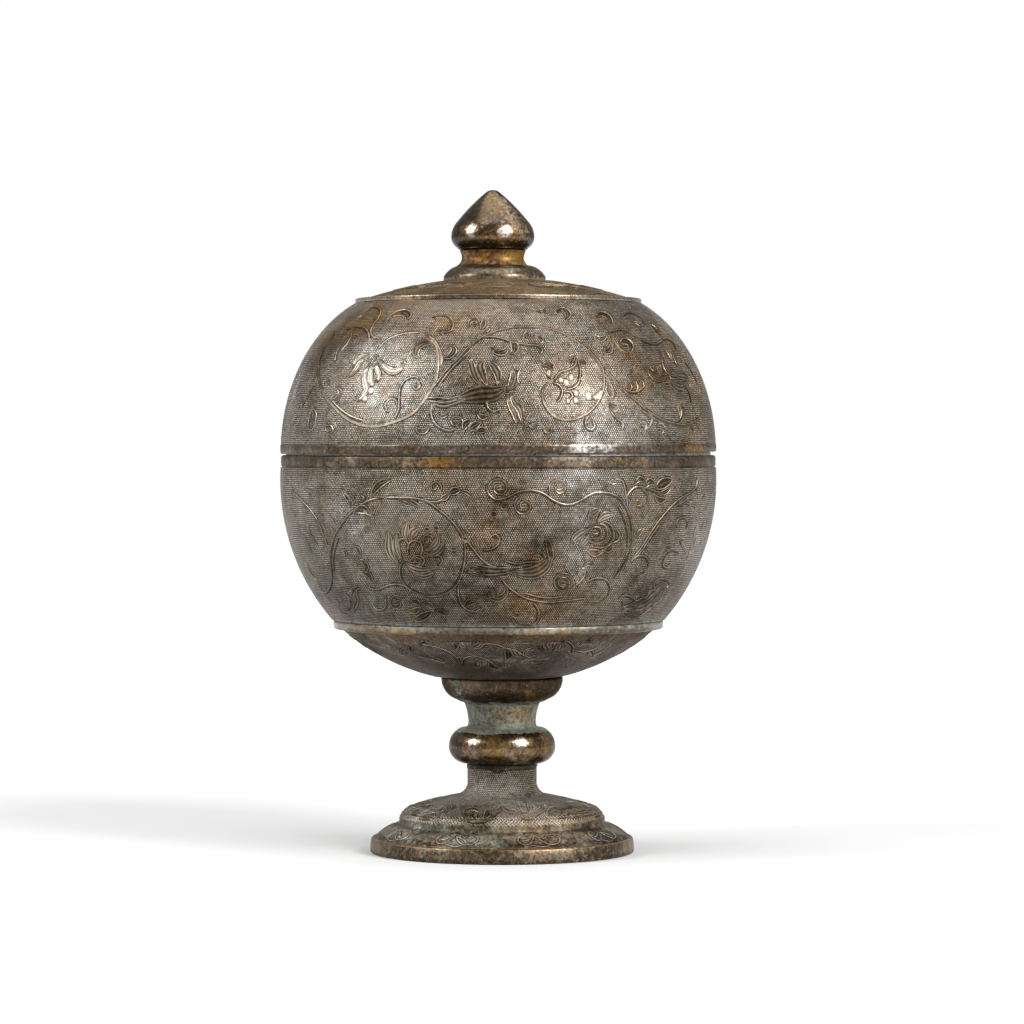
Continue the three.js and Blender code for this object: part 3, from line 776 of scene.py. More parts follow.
for piece in (foot_sheet, foot_scrolls):
    stain(piece, "green", [((3, -8, 14), 7, 0.3), ((-3, -26, 5), 5, 0.35), ((-14, -15, 10), 7, 0.2),
                           ((-9, -25, 5), 4, 0.3)])
    stain(piece, "cool", [((-10, -14, 12), 9, 0.5), ((6, -8, 14), 6, 0.5), ((-3, -26, 5), 9, 0.4)])
    stain(piece, "warm", [((-4, -22, 8.4), 5, 0.6), ((8, -22, 8.4), 6, 0.5), ((18, -14, 9), 6, 0.5),
                          ((5, -6, 18), 4, 0.4), ((-16, -24, 3.6), 5, 0.5), ((6, -29, 3.6), 5, 0.5)])
    stain(piece, "dusk", [((-4, -24, 5), 6, 0.3), ((14, -22, 5), 6, 0.4)],
          [(6.0, 8.0, 0.9), (3.0, 4.4, 0.6)])
    # Pale spots, partly painted highlight on the flange, dome and stem where the soft boxes light them,
    # partly paler metal.
    stain(piece, "pale_and_highlight", [((-12, -20, 7.2), 5, 0.15), ((6, -22.5, 7.2), 6, 0.15), ((-6, -5, 16), 4, 0.5),
                          ((-21, -15, 5), 6, 0.9), ((7, -17, 11.5), 6, 0.6)])
    stain(piece, "brown", [((-20, -20, 4), 6, 0.5), ((12, -27, 4), 6, 0.4), ((24, -14, 5), 7, 0.5)],
          [(3.3, 4.4, 0.4)])
    stain(piece, "gold", [((-4, -22, 8), 6, 0.25), ((20, -8, 9), 8, 0.3), ((5, -8, 19), 5, 0.3)])
    stain(piece, "tan", [((8, -20, 10), 9, 0.4), ((-6, -8, 17), 6, 0.4)])
fit(foot_sheet, "cup", "punched_bronze", foot_skin, "foot")
fit(foot_scrolls, "cup", "punched_bronze", foot_skin)


# Knop
# A cast ring, turned and polished, that stands on the lower stem and is soldered to it. The
# solder shows under it as a dark ragged ring.

_, KNOP_TOP, KNOP_RADIUS, _ = span("stem_knop")

# Section of the solder, in mm from the stem's face and from the knop's underside.
SOLDER = [(-0.25, -0.90), (0.0, -0.95), (0.13, -0.75), (0.17, -0.40), (0.15, -0.05), (-0.25, -0.05)]

# Lumps of its lower edge: how many go round, their size in mm, and their turn.
SOLDER_LUMPS = ((3, 0.10, 0.4), (5, 0.07, 2.1), (11, 0.05, 1.0))

# A drop that ran down at the front: how far in mm, and its place and width in radians.
DROP_LONG = 0.75
DROP_TURN = -0.12
DROP_WIDE = 0.16

solder_skin = old_bronze("solder", (0.075, 0.075, 0.062, 1.0), 0.55, 3.3, brown=0.4, green=0.25)
outline = [(STEM_RADIUS + out, FOOT_TOP + up) for out, up in SOLDER]
solder = turned("solder_ring", outline, STEM_X, 160)
for vertex in solder.data.vertices:
    turn = math.atan2(vertex.co.x - STEM_X * MM, -vertex.co.y)
    lump = sum(size * math.sin(count * turn + shift) for count, size, shift in SOLDER_LUMPS)
    lump += DROP_LONG * math.exp(-(((turn - DROP_TURN) / DROP_WIDE) ** 2))
    if vertex.co.z < (FOOT_TOP - 0.5) * MM:
        vertex.co.z -= max(lump, -0.1) * MM
fit(solder, "cup", "green_patina", solder_skin)

knop_skin = old_bronze("knop_bronze", (0.150, 0.096, 0.048, 1.0), 0.28, 1.1, grain=0.3, wax=0.45,
                       edge_shine=0.35, brown=0.50, rust=0.25, gold=0.30, tan=0.20)
knop_foot = (9.2, FOOT_TOP + 0.3)
knop_girth = (KNOP_RADIUS, FOOT_TOP + 4.0)
outline = [(STEM_BORE, FOOT_TOP), (8.0, FOOT_TOP), (8.1, FOOT_TOP + 0.1), knop_foot]
outline += arc(knop_foot, knop_girth, 0.344, 18) + arc(knop_girth, (9.5, KNOP_TOP), 0.287, 16)
outline += [(8.4, KNOP_TOP), (STEM_BORE, KNOP_TOP)]
knop = turned("knop_ring", outline, STEM_X, 192)
stain(knop, "gold", [((-0.5, -11.5, 24.5), 2.6, 0.9), ((11, -5, 23), 4, 0.8), ((6, -10, 22), 2.5, 0.5)])
stain(knop, "tan", [((-6, -10, 22), 3, 0.4), ((6, -10, 21.5), 3, 0.4), ((2, -11, 23), 2, 0.4)])
stain(knop, "dusk", [((-2, -11, 20.6), 3, 0.7), ((7, -8, 26.5), 3, 0.5)])
# Painted highlights where the two side soft boxes shine on the knop.
stain(knop, "highlight_spot", [((-6.0, -9.8, 25.6), 1.9, 0.8), ((4.9, -10.5, 25.4), 2.0, 0.8)])
stain(knop, "green", [((-4, -9, 27), 3.0, 0.5)], [(27.3, 28.2, 0.9)])
stain(knop, "brown", [((-10, -6, 25), 4, 0.3)], [(19.8, 21.6, 0.7)])
fit(knop, "cup", "polished_bronze", knop_skin, "stem_knop")


# Neck and saucer
# Two more cast rings, stacked on the knop and soldered. Pale green crust covers the waisted
# neck, and a dark slit is left between the saucer and the bowl that it carries.

_, NECK_TOP, NECK_END, _ = span("stem_neck")
_, SAUCER_TOP, SAUCER_RADIUS, _ = span("stem_saucer")
SAUCER_SEAT = 12.2
SLIT = 0.3

neck_skin = old_bronze("neck_bronze", (0.250, 0.212, 0.150, 1.0), 0.40, 0.6, grain=0.5,
                       brown=0.2, gold=0.15, tan=0.32, green=0.50)
neck_waist = (7.65, KNOP_TOP + 1.2)
outline = [(STEM_BORE, KNOP_TOP), (NECK_END, KNOP_TOP)] + arc((NECK_END, KNOP_TOP), neck_waist, -0.3, 8)
outline += arc(neck_waist, (NECK_END, NECK_TOP), -0.09, 14) + [(STEM_BORE, NECK_TOP)]
neck = turned("neck_tube", outline, STEM_X, 160)
# Pale spot on the front right, partly painted highlight, partly paler crust.
stain(neck, "pale_and_highlight", [((4, -7, 30), 3.5, 0.3)])
stain(neck, "green", [((-6, -5, 29), 4, 0.7)], [(27.9, 29.4, 0.9), (33.0, 33.8, 0.5)])
stain(neck, "dusk", [((-4, -7, 32), 2.6, 0.8), ((0, -8, 32.6), 2.0, 0.5)])
stain(neck, "warm", [((5.5, -6, 31.5), 3.2, 0.7), ((1, -8, 30.5), 2.5, 0.4)])
fit(neck, "cup", "green_patina", neck_skin, "stem_neck")

saucer_skin = old_bronze("saucer_bronze", (0.120, 0.088, 0.062, 1.0), 0.36, 1.9, grain=0.5, edge_shine=0.4,
                         brown=0.50, rust=0.20, gold=0.10, tan=0.12, green=0.15)
saucer_under = (11.6, NECK_TOP + 1.5)
outline = [(STEM_BORE, NECK_TOP), (NECK_END, NECK_TOP), (8.62, NECK_TOP + 0.1), (8.6, NECK_TOP + 0.25)]
outline += [(9.5, NECK_TOP + 0.45), saucer_under]
outline += arc(saucer_under, (SAUCER_RADIUS, SAUCER_TOP - SLIT - 0.2), 0.25, 18)
outline += [(SAUCER_RADIUS - 0.1, SAUCER_TOP - SLIT), (SAUCER_SEAT, SAUCER_TOP - SLIT)]
outline += [(SAUCER_SEAT, SAUCER_TOP), (STEM_BORE, SAUCER_TOP)]
saucer = turned("saucer_ring", outline, STEM_X, 192)
stain(saucer, "gold", [((7, -10, 35.8), 2.8, 0.7)])
stain(saucer, "rust", [((3, -12, 36.8), 4, 0.3)])
stain(saucer, "green", [((-10, -9, 38.5), 4, 0.4)], [(33.5, 34.2, 0.5)])
fit(saucer, "cup", "polished_bronze", saucer_skin, "stem_saucer")


# Bowl cap
# The shallow lower part of the globe, raised from one sheet. It is ring-punched round small
# chased scrolls, and its edge steps out under the wire to meet the band of the bowl.

_, CAP_TOP, CAP_RADIUS, _ = span("bowl_cap")
GIRDLE_LOW, GIRDLE_TOP, GIRDLE_RADIUS, _ = span("girdle_wire")
BOWL_FLOOR = span("bowl_washer")[0]
BOWL_WALL = 1.2
CAP_FOOT = 14.95
CAP_EDGE = (33.9, 49.2)
ROD_HOLE = 4.15

CAP_DESIGN = {
    "vines": {
        "left stem": [(421, 644), (432, 646), (445, 650), (456, 657), (461, 668)],
        "left twig": [(425, 658), (438, 661), (448, 665)],
        "to the flower": [(477, 646), (487, 644), (497, 645), (505, 648)],
        "middle stem": [(462, 666), (464, 659), (473, 656), (482, 658), (491, 662), (497, 668)],
        "right stem": [(505, 648), (514, 650), (525, 656), (538, 660), (550, 658)],
        "right twig": [(560, 641), (568, 642), (573, 647), (572, 653)],
        "far right": [(573, 650), (584, 652), (596, 648), (604, 641)],
        "outer right": [(592, 656), (603, 651), (612, 643)],
        "outer left": [(398, 640), (404, 648), (414, 655), (425, 658)],
    },
    "leaves": {
        "left hook": ([(420, 648), (424, 643), (431, 644)], 8),
        "dark leaf": ([(488, 661), (493, 666), (500, 669)], 9),
        "middle leaf": ([(505, 662), (509, 655), (506, 648)], 9),
        "right leaf": ([(579, 646), (586, 642), (593, 643)], 8),
        "low right": ([(530, 662), (538, 664), (545, 661)], 7),
        "low left": ([(430, 655), (438, 660), (448, 662)], 8),
        "outer leaf": ([(404, 641), (410, 646), (411, 652)], 6),
        "under the wire": ([(450, 641), (456, 645), (455, 650)], 6),
    },
    "petals": {
        "flower left": ([(470, 648), (464, 645), (461, 640)], 9),
        "flower middle": ([(471, 648), (471, 642), (476, 639)], 9),
        "flower right": ([(472, 648), (478, 646), (483, 641)], 9),
        "right flower left": ([(551, 651), (545, 648), (543, 642)], 10),
        "right flower middle": ([(552, 651), (551, 644), (555, 640)], 10),
        "right flower right": ([(553, 651), (559, 648), (561, 643)], 9),
        "gold flower a": ([(522, 657), (516, 654), (513, 648)], 8),
        "gold flower b": ([(524, 657), (527, 651), (533, 649)], 8),
        "gold flower c": ([(525, 659), (532, 658), (538, 654)], 8),
    },
    "spirals": {
        "by the leaf": (478, 664, 5.5, 1.2, 90, 1), "right": (590, 654, 5.0, 1.2, 90, -1),
        "outer": (404, 652, 4.5, 1.2, 90, 1),
    },
    "beads": {
        "left": (463, 643, 2.4), "middle": (526, 642, 2.8), "right": (566, 655, 2.0),
    },
}

cap_out = [(CAP_FOOT, SAUCER_TOP)] + arc((CAP_FOOT, SAUCER_TOP), CAP_EDGE, 0.11, 40)
cap_work = Chasing(cap_out, 0.0)
cap_work.draw(CAP_DESIGN, 3)
cap_inside = CAP_RADIUS - BOWL_WALL
outline = cap_out + [(CAP_RADIUS, GIRDLE_LOW), (CAP_RADIUS, CAP_TOP), (cap_inside, CAP_TOP)]
outline += [(cap_inside, GIRDLE_LOW), (32.7, 49.8)] + arc((32.7, 49.8), (8.55, BOWL_FLOOR), -0.11, 16)
outline += [(ROD_HOLE, BOWL_FLOOR), (ROD_HOLE, SAUCER_TOP)]
bowl_cap = turned("bowl_cap_sheet", outline, 0.0, 256)
cap_work.rows(bowl_cap, [(cap_work.arc[-1] - 0.6, cap_work.arc[-1])])
cap_scrolls = cap_work.piece("bowl_cap_scrolls")
cap_skin = old_bronze("cap_bronze", (0.160, 0.118, 0.080, 1.0), 0.46, 0.9, cap_work.punching(),
                      edge_shine=0.5, brown=0.36, tan=0.20, green=0.18, gold=0.10, rust=0.08)
for piece in (bowl_cap, cap_scrolls):
    stain(piece, "gold", [((-4, -20, 42), 6, 0.35), ((5, -22, 43), 5, 0.25)])
    stain(piece, "green", [((2, -26, 45), 7, 0.35), ((-26, -20, 48), 7, 0.3)])
    # Pale patch on the right front, partly painted highlight, partly paler metal.
    stain(piece, "pale_and_highlight", [((22, -22, 47), 9, 0.25)])
fit(bowl_cap, "cup", "punched_bronze", cap_skin, "bowl_cap")
fit(cap_scrolls, "cup", "punched_bronze", cap_skin)


# Bowl band
# The deep lower half of the globe, raised from sheet and soldered edge to edge to the cap. A
# chased vine with peonies and a bird goes round it, and a plain band is left at its rim.

_, BOWL_TOP, _, _ = span("bowl_band")
RING_LOW, RING_TOP, RING_RADIUS, _ = span("rim_flange")
BAND_FOOT = (37.7, GIRDLE_TOP)
BAND_LIP = (49.1, BOWL_TOP - 0.3)
BAND_BULGE = 0.206
PLAIN_LOW = 87.2
PLAIN_RADIUS = 49.2
MOUTH_RADIUS = 48.2

BOWL_DESIGN = {
    "vines": {
        "left edge stem": [(292, 490), (300, 499), (307, 506), (314, 515), (319, 524), (323, 534),
                           (328, 547)],
        "left edge blade": [(306, 523), (311, 535), (318, 547), (322, 558)],
        "left stem": [(320, 587), (322, 592), (327, 592), (331, 585), (332, 576), (331, 565), (330.5, 555),
                      (332, 545), (335, 535), (340, 527), (346, 518), (352, 512), (364, 503.5),
                      (373, 499.5), (385, 497.5)],
        "inside the left stem": [(334, 572), (333.5, 560), (335, 548), (339, 537)],
        "over the peony": [(385, 497.5), (397, 498), (409, 498), (420, 499.5), (430, 502), (438, 502),
                           (446, 498)],
        "to the knot": [(424, 500.5), (431, 504), (438, 509.5), (446, 516), (453, 523), (459, 531),
                        (464, 539)],
        "ring": [(464, 541), (465, 552), (464, 563), (462, 571), (459, 580), (454, 587), (447, 592.5),
                 (438, 595.5), (428, 596), (418, 593), (409, 588), (403, 581), (400, 573), (401, 565),
                 (405, 560)],
        "to the bird": [(467, 541), (472, 548), (480, 558), (489, 565), (498, 568)],
        "low tail": [(458, 586), (458, 595), (461, 604), (467, 610), (475, 612), (482, 608)],
        "low wave": [(359, 574), (364, 582), (370, 588.5), (378, 589.5), (387, 586), (396, 584.5),
                     (404, 586), (411, 591)],
        "low left twig": [(360, 587), (356, 591), (358, 599), (356, 607), (351, 613)],
        "low hook": [(372, 604), (376, 609), (382, 610), (386, 606), (386, 596)],
        "low left hook": [(333, 600), (338, 602), (338, 608), (343, 614), (350, 616)],
        "wave": [(487, 482), (486.5, 489), (490, 496), (497, 500), (508, 497.5), (517, 493), (526, 490.7),
                 (537, 491.5), (546, 495.5), (553, 500.5), (563, 504.5), (572, 504.5), (581, 500.5),
                 (589, 495.5), (596, 493), (606, 493), (615, 495.5), (621, 500.5), (626, 508), (630, 518),
                 (632, 529), (632, 540), (630, 552), (625, 563), (619, 571), (612, 580)],
        "inner wave": [(616, 504), (622, 513), (626, 525), (628, 538), (627, 549)],
        "right branch": [(629, 561), (639, 551), (647, 539), (656, 525), (664, 515), (673, 505),
                         (682, 497.5), (690, 493), (696, 487), (697, 479)],
        "branch's second line": [(634, 560), (643, 549), (651, 537), (660, 524)],
        "top twig": [(628, 508), (627.5, 497), (632, 490), (638, 487), (647, 488.5), (655, 491.5),
                     (661, 493)],
        "top twig left": [(627, 500), (625, 487), (622, 480), (615, 479)],
        "curl's stem": [(641, 488), (647, 494), (647, 503), (641, 509), (635, 508)],
        "comma stem": [(630, 563), (636, 557), (644, 556.5), (648.5, 562), (648, 569)],
        "right ring": [(679, 554), (670, 552.5), (664, 559), (663, 566), (668, 568), (670.5, 563)],
        "right hook": [(677, 528), (677.5, 520.5), (684, 517.5), (687.5, 523.5), (685, 530)],
        "lower vine": [(500, 577), (506, 585), (515, 592.5), (526, 598.5), (538, 601.5), (550, 602.5),
                       (563, 601.5), (575, 600), (586, 598)],
        "lower vine inside": [(524, 593), (538, 597), (552, 598), (566, 596)],
        "right loop": [(586, 582), (596, 578.5), (606, 580), (610, 588), (607, 597), (599, 603),
                       (590, 605)],
        "spiral's tail": [(575, 586), (579, 583), (584, 577), (586, 571)],
        "bottom curl": [(533, 602), (538, 610), (537, 621), (528, 626), (517, 624.5), (511, 617)],
        "bird's tail high": [(480, 566), (495, 568), (508, 568)],
        "bird's tail": [(478, 570.5), (495, 571.5), (509, 570.5)],
        "bird's tail low": [(482, 575), (495, 575), (509, 573)],
        "bird's wing line": [(503, 560), (515, 564), (527, 562.5), (538, 562), (543, 558.5), (538, 554.5),
                             (529, 556)],
        "hook under the wave": [(481, 550), (491, 549.5), (498, 545), (500, 538), (496, 533.5)],
        "peony's first scallop": [(399, 551), (398, 543), (403, 539), (408, 544), (407, 551)],
        "peony's second scallop": [(409, 556), (408, 547), (413, 541), (420, 543), (422, 550), (419, 557)],
        "peony's third scallop": [(410, 562), (414, 557), (420, 556), (424, 560), (421, 566)],
        "peony's edge": [(432, 557), (439, 556), (442, 561), (438, 567)],
        "peony scallop one": [(593, 527.5), (599, 528), (601, 533), (598, 537.5), (592, 538)],
        "peony scallop two": [(598, 524), (605, 526), (607, 534), (603, 541), (595, 542.5), (588, 540)],
        "peony scallop three": [(604, 521), (611, 526), (613, 535), (610, 543), (602, 547), (592, 547)],
        "ruffled edge high": [(618, 600), (624, 595.5), (631, 597), (636, 601), (641, 598.5), (647, 597),
                              (650, 591), (655, 590), (654, 584), (659, 579), (667, 580), (669, 585)],
        "ruffled edge low": [(622, 600), (624, 608), (631, 609), (633, 615), (640, 616), (647, 611),
                             (654, 605), (661, 599), (664, 591), (669, 585)],
        "ruffled fold": [(629, 604), (637, 606), (644, 601), (650, 597), (655, 593), (660, 588)],
    },
    "leaves": {
        "knot leaf": ([(353, 515), (358, 510), (365, 510), (371, 515)], 9),
        "knot leaf's end": ([(371, 516), (373, 511), (371, 506)], 5),
        "blade one": ([(351, 508), (348, 499), (342, 492)], 5),
        "blade two": ([(353, 508), (353, 500), (347, 493)], 5),
        "blade three": ([(356, 503), (363, 502), (366, 497), (359, 494)], 5),
        "long blade": ([(370, 501), (374, 491), (381, 483.5), (393, 479)], 8),
        "fork gold": ([(438, 501), (444, 498), (450, 494)], 6),
        "fork dark": ([(448, 495), (454, 491), (461, 490)], 8),
        "fork tip": ([(459, 491), (466, 492), (472, 497)], 4),
        "under the stem one": ([(399, 499), (405, 503), (411, 505)], 4.5),
        "under the stem two": ([(407, 499), (414, 503), (422, 508)], 4.5),
        "tail leaf": ([(463, 608), (470, 602), (479, 601)], 8),
        "tail leaf low": ([(470, 611), (478, 610), (484, 605)], 6),
        "left low": ([(305, 560), (311, 572), (320, 580)], 8),
        "left low end": ([(314, 577), (319, 585), (321, 592)], 6),
        "crust leaf one": ([(356, 566), (361, 561), (367, 566), (364, 573)], 6),
        "crust leaf two": ([(362, 574), (369, 575), (372, 582)], 7),
        "crust leaf three": ([(352, 546), (358, 549), (360, 556)], 6),
        "gold seed": ([(341, 549), (345, 552), (346, 557)], 5),
        "low blossom one": ([(409, 604), (415, 601), (421, 604)], 7),
        "low blossom two": ([(406, 610), (414, 611), (421, 607)], 7),
        "low blossom three": ([(421, 606), (428, 604), (434, 609)], 7),
        "low blossom four": ([(408, 616), (417, 619), (426, 615), (433, 611)], 9),
        "low blossom five": ([(434, 612), (441, 612), (447, 616)], 7),
        "low left curl": ([(345, 592), (351, 600), (351, 608), (344, 612)], 6),
        "right peony top": ([(589, 524), (592, 514), (601, 509)], 8),
        "right peony lobe one": ([(586, 549), (594, 553), (603, 552)], 8),
        "right peony lobe two": ([(602, 550), (609, 549), (612, 543)], 8),
        "right peony lobe three": ([(612, 543), (617, 537), (615, 529)], 8),
        "twig leaf one": ([(634, 485), (640, 479), (646, 482)], 6),
        "twig leaf two": ([(646, 488), (649, 482), (655, 483)], 8),
        "twig flame": ([(655, 489), (662, 484), (673, 479)], 11),
        "twig leaf three": ([(658, 493), (665, 492), (671, 487)], 6),
        "twig leaf four": ([(654, 494), (659, 500), (667, 499)], 7),
        "branch tip": ([(695, 489), (698, 483), (697, 475)], 5),
        "gold leaf": ([(636, 539), (639, 533), (644, 528)], 6),
        "low comma": ([(505, 583), (506, 592), (500, 598), (492, 597), (489, 591)], 8),
        "bird's head": ([(549, 566), (551, 557), (549, 546), (546, 535)], 7),
        "over the lower vine": ([(583, 568), (588, 564), (594, 566)], 5),
    },
    "petals": {
        "left blades": ([(302, 532), (307, 545), (313, 557)], 9),
        "peony crescent": ([(402, 565), (394, 559), (389.5, 550), (389, 540), (389, 530)], 10),
        "peony second": ([(403, 561), (398, 553), (396, 544), (397, 532)], 8),
        "peony top left": ([(407, 540), (405, 533), (408, 521)], 8),
        "peony top": ([(411, 540), (413, 533), (419, 528)], 9),
        "peony ray one": ([(423, 551), (431, 548), (437, 542), (438, 535)], 7),
        "peony ray two": ([(424, 556), (433, 554), (440, 549), (444, 541)], 7),
        "peony low": ([(405, 561), (411, 567), (421, 570), (432, 569)], 9),
        "peony lowest": ([(410, 569), (418, 574.5), (427, 575), (436, 571)], 8),
        "feather one": ([(466, 567), (474, 566), (483, 569)], 6),
        "feather two": ([(466, 573), (474, 572), (483, 576)], 6),
        "right peony left": ([(590, 528), (583, 532), (576, 537), (571, 544)], 9),
        "right peony left low": ([(590, 533), (585, 540), (579, 548)], 8),
        "right peony crest": ([(596, 523), (604, 516), (614, 514)], 8),
        "branch blade one": ([(675, 506), (684, 501), (691, 493)], 7),
        "branch blade two": ([(683, 501), (692, 496), (698, 489)], 6),
        "edge blade one": ([(686, 562), (690, 553), (694, 542), (697, 522)], 10),
        "edge blade two": ([(679, 540), (684, 545), (686, 552)], 6),
        "low blades": ([(344, 588), (349, 592), (353, 588)], 6),
    },
    "feathers": {
        "bird's body": ([(506, 571), (520, 573), (534, 572.5), (545, 566), (551, 555)], 15),
        "ruffled leaf": ([(620, 608), (634, 606), (647, 601), (658, 590), (668, 582)], 20),
        "ruffled leaf's root": ([(624, 613), (634, 613), (644, 609)], 9),
    },
    "spirals": {
        "first": (499, 488, 11.0, 1.4, 165, -1), "second": (524, 506, 11.0, 1.4, 110, 1),
        "over the wave": (559, 488, 11.0, 1.3, 215, -1), "small": (504.5, 507, 5.0, 1.1, 90, 1),
        "low": (563, 583, 12.0, 2.0, 330, 1), "low left": (397, 603, 9.0, 1.2, 60, 1),
        "peony": (427, 540, 7.5, 1.2, 300, 1), "over the fork": (435, 487, 7.5, 1.1, 320, 1),
    },
    "bosses": {
        "crust knob": (365, 512, 2.6), "knot": (466, 541, 2.4), "patina knob": (354, 533, 2.2),
    },
    "beads": {
        "dark one": (427, 529, 2.6), "dark two": (436, 528, 2.8), "dark three": (454, 552, 2.8),
        "peony seed": (417, 560, 3.2), "wave": (494, 514, 3.4), "hook": (495, 537, 3.4),
        "twig": (613, 482, 2.8), "curl": (638, 503, 3.4), "comma": (642, 573, 3.2), "ring": (669, 564, 2.4),
        "over the ring": (668, 547, 3.2), "bottom": (516, 615, 3.8), "spiral's": (583, 570, 2.8),
        "low left": (492, 595, 3.2), "right peony": (595, 532, 2.6), "first curl": (502, 487, 3.0),
    },
}

bowl_arc = [BAND_FOOT] + arc(BAND_FOOT, BAND_LIP, BAND_BULGE, 110)
bowl_ground = [point for point in bowl_arc if point[1] < PLAIN_LOW]
bowl_plain = [(48.98, PLAIN_LOW), (49.02, PLAIN_LOW + 0.15), (49.16, PLAIN_LOW + 0.25)]
bowl_plain += [(PLAIN_RADIUS, PLAIN_LOW + 1.0), (PLAIN_RADIUS, BOWL_TOP - 0.5)]
band_out = bowl_ground + bowl_plain
bowl_work = Chasing(band_out, 0.0)
bowl_work.draw(BOWL_DESIGN, 2)
rim = arc(bowl_plain[-1], (PLAIN_RADIUS - 0.5, BOWL_TOP), 0.3, 4)
rim += [(MOUTH_RADIUS, BOWL_TOP), (MOUTH_RADIUS, RING_LOW)]
inside = arc(rim[-1], (cap_inside, GIRDLE_TOP), -BAND_BULGE, 24)
inside += [(cap_inside, CAP_TOP), (CAP_RADIUS, CAP_TOP), (CAP_RADIUS, GIRDLE_TOP)]
bowl_band = turned("bowl_band_sheet", band_out + rim + inside, 0.0, 320)
bowl_work.rows(bowl_band, [(0.0, 0.7), (bowl_work.arc[len(bowl_ground)] - 0.01, bowl_work.arc[-1])])
bowl_scrolls = bowl_work.piece("bowl_band_scrolls")
bowl_skin = old_bronze("bowl_bronze", (0.278, 0.228, 0.174, 1.0), 0.42, 1.2, bowl_work.punching(),
                       edge_shine=0.75, brown=0.22, tan=0.20, green=0.12, gold=0.10)
BOWL_TONES = {
    # Partly painted highlight down the band where the right soft box shines, painted reflection along the
    # limbs, and partly paler crust.
    "pale_and_highlight": {
        "under the rim": (575, 480, 6.0, 1.0), "rim": (578, 462, 3.5, 0.9),
        "under the wave": (585, 512, 3.5, 0.8), "by the peony": (586, 552, 4.0, 0.9),
        "under it": (578, 578, 3.0, 0.7), "left": (345, 515, 5.5, 0.6), "left limb": (306, 500, 4.0, 0.5),
        "right limb": (697, 545, 5.0, 0.6), "crust": (362, 528, 2.5, 0.5),
        "low middle": (525, 622, 3.5, 0.4), "second crust": (578, 518, 1.2, 0.6),
    },
    "warm": {
        "over the fork": (445, 478, 4.0, 0.7), "first curl": (500, 492, 4.0, 0.5),
        "bird's tail": (485, 535, 5.0, 0.8), "bird": (535, 560, 5.0, 0.5), "low vine": (560, 610, 7.0, 0.6),
        "bottom curl": (522, 605, 4.5, 0.8), "peony": (420, 545, 5.0, 0.5),
        "right peony": (600, 550, 3.5, 0.7), "right": (660, 510, 6.0, 0.4), "middle": (545, 500, 6.0, 0.3),
    },
    "cool": {
        "low left": (370, 610, 9.0, 0.9), "left": (330, 580, 9.0, 0.9),
        "under the peony": (430, 600, 8.0, 0.8), "left edge": (304, 550, 8.0, 1.0),
        "middle": (470, 585, 5.0, 0.5), "ring": (384, 575, 6.0, 0.5), "right": (620, 600, 5.0, 0.5),
        "branch": (640, 530, 4.0, 0.3),
    },
    "dusk": {
        "under the knot": (450, 550, 5.0, 0.5), "middle low": (480, 590, 6.0, 0.8),
        "low left": (410, 605, 6.0, 0.5), "between": (545, 540, 4.0, 0.6), "wave": (500, 510, 5.0, 0.5),
        "right low": (640, 585, 5.5, 0.6), "over the fork": (450, 505, 6.0, 0.4),
        "rim middle": (460, 462, 4.0, 0.3), "rim right": (685, 462, 4.0, 0.7), "low": (440, 590, 6.0, 0.4),
        "limb low": (330, 600, 4.0, 0.4), "bird": (535, 560, 4.0, 0.8),
        "over the tail": (476, 500, 5.0, 0.5), "tail": (480, 568, 4.0, 0.6),
        "under the bird": (510, 568, 5.0, 0.7), "peony": (408, 552, 4.5, 0.5),
        "low right": (645, 600, 7.0, 0.6), "lowest right": (610, 625, 5.0, 0.4),
        "lowest": (440, 618, 7.0, 0.4), "ruffle": (643, 602, 3.6, 0.9),
    },
}
for piece in (bowl_band, bowl_scrolls):
    for tone, places in BOWL_TONES.items():
        stain(piece, tone, bowl_work.spots(places))
    crust = bowl_work.spots({"left": (350, 530, 6.0, 0.3), "low": (380, 600, 8.0, 0.15)})
    stain(piece, "green", crust, [(52.4, 53.4, 0.5)])
    stain(piece, "tan", [((20, -44, 68), 9, 0.2), ((-20, -44, 84), 8, 0.2)])
    stain(piece, "brown", rings=[(87.2, 89.9, 0.6)])
    stain(piece, "gold", bowl_work.spots({"rim": (440, 463, 6.0, 0.4)}), [(87.2, 89.6, 0.25)])
fit(bowl_band, "cup", "punched_bronze", bowl_skin, "bowl_band")
fit(bowl_scrolls, "cup", "punched_bronze", bowl_skin)


# Girdle wire
# A rounded bronze wire, bent into a ring and soldered in the step between the cap and the band
# of the bowl, where it hides their joint.

GIRDLE_WIDE = 1.7


def wire(outer, wide, low, top):
    """Outline of a rounded wire in its rebate."""
    quarter = (top - low) / 4
    inner = outer - wide + 0.1
    points = [(inner, low), (outer - quarter, low)]
    points += arc(points[-1], (outer, low + quarter), 0.35, 6) + [(outer, low + quarter * 3)]
    points += arc(points[-1], (outer - quarter, top), 0.35, 6)
    return points + [(inner, top)]


wire_skin = old_bronze("wire_bronze", (0.300, 0.255, 0.205, 1.0), 0.34, 4.1, grain=0.6, wax=0.25,
                       brown=0.15, tan=0.2, green=0.25, gold=0.1)
girdle = turned("girdle_ring", wire(GIRDLE_RADIUS, GIRDLE_WIDE, GIRDLE_LOW, GIRDLE_TOP), 0.0, 320)
stain(girdle, "gold", [((-24, -28, 51), 12, 0.3), ((12, -35, 51), 8, 0.3)], [(50.5, 51.3, 0.25)])
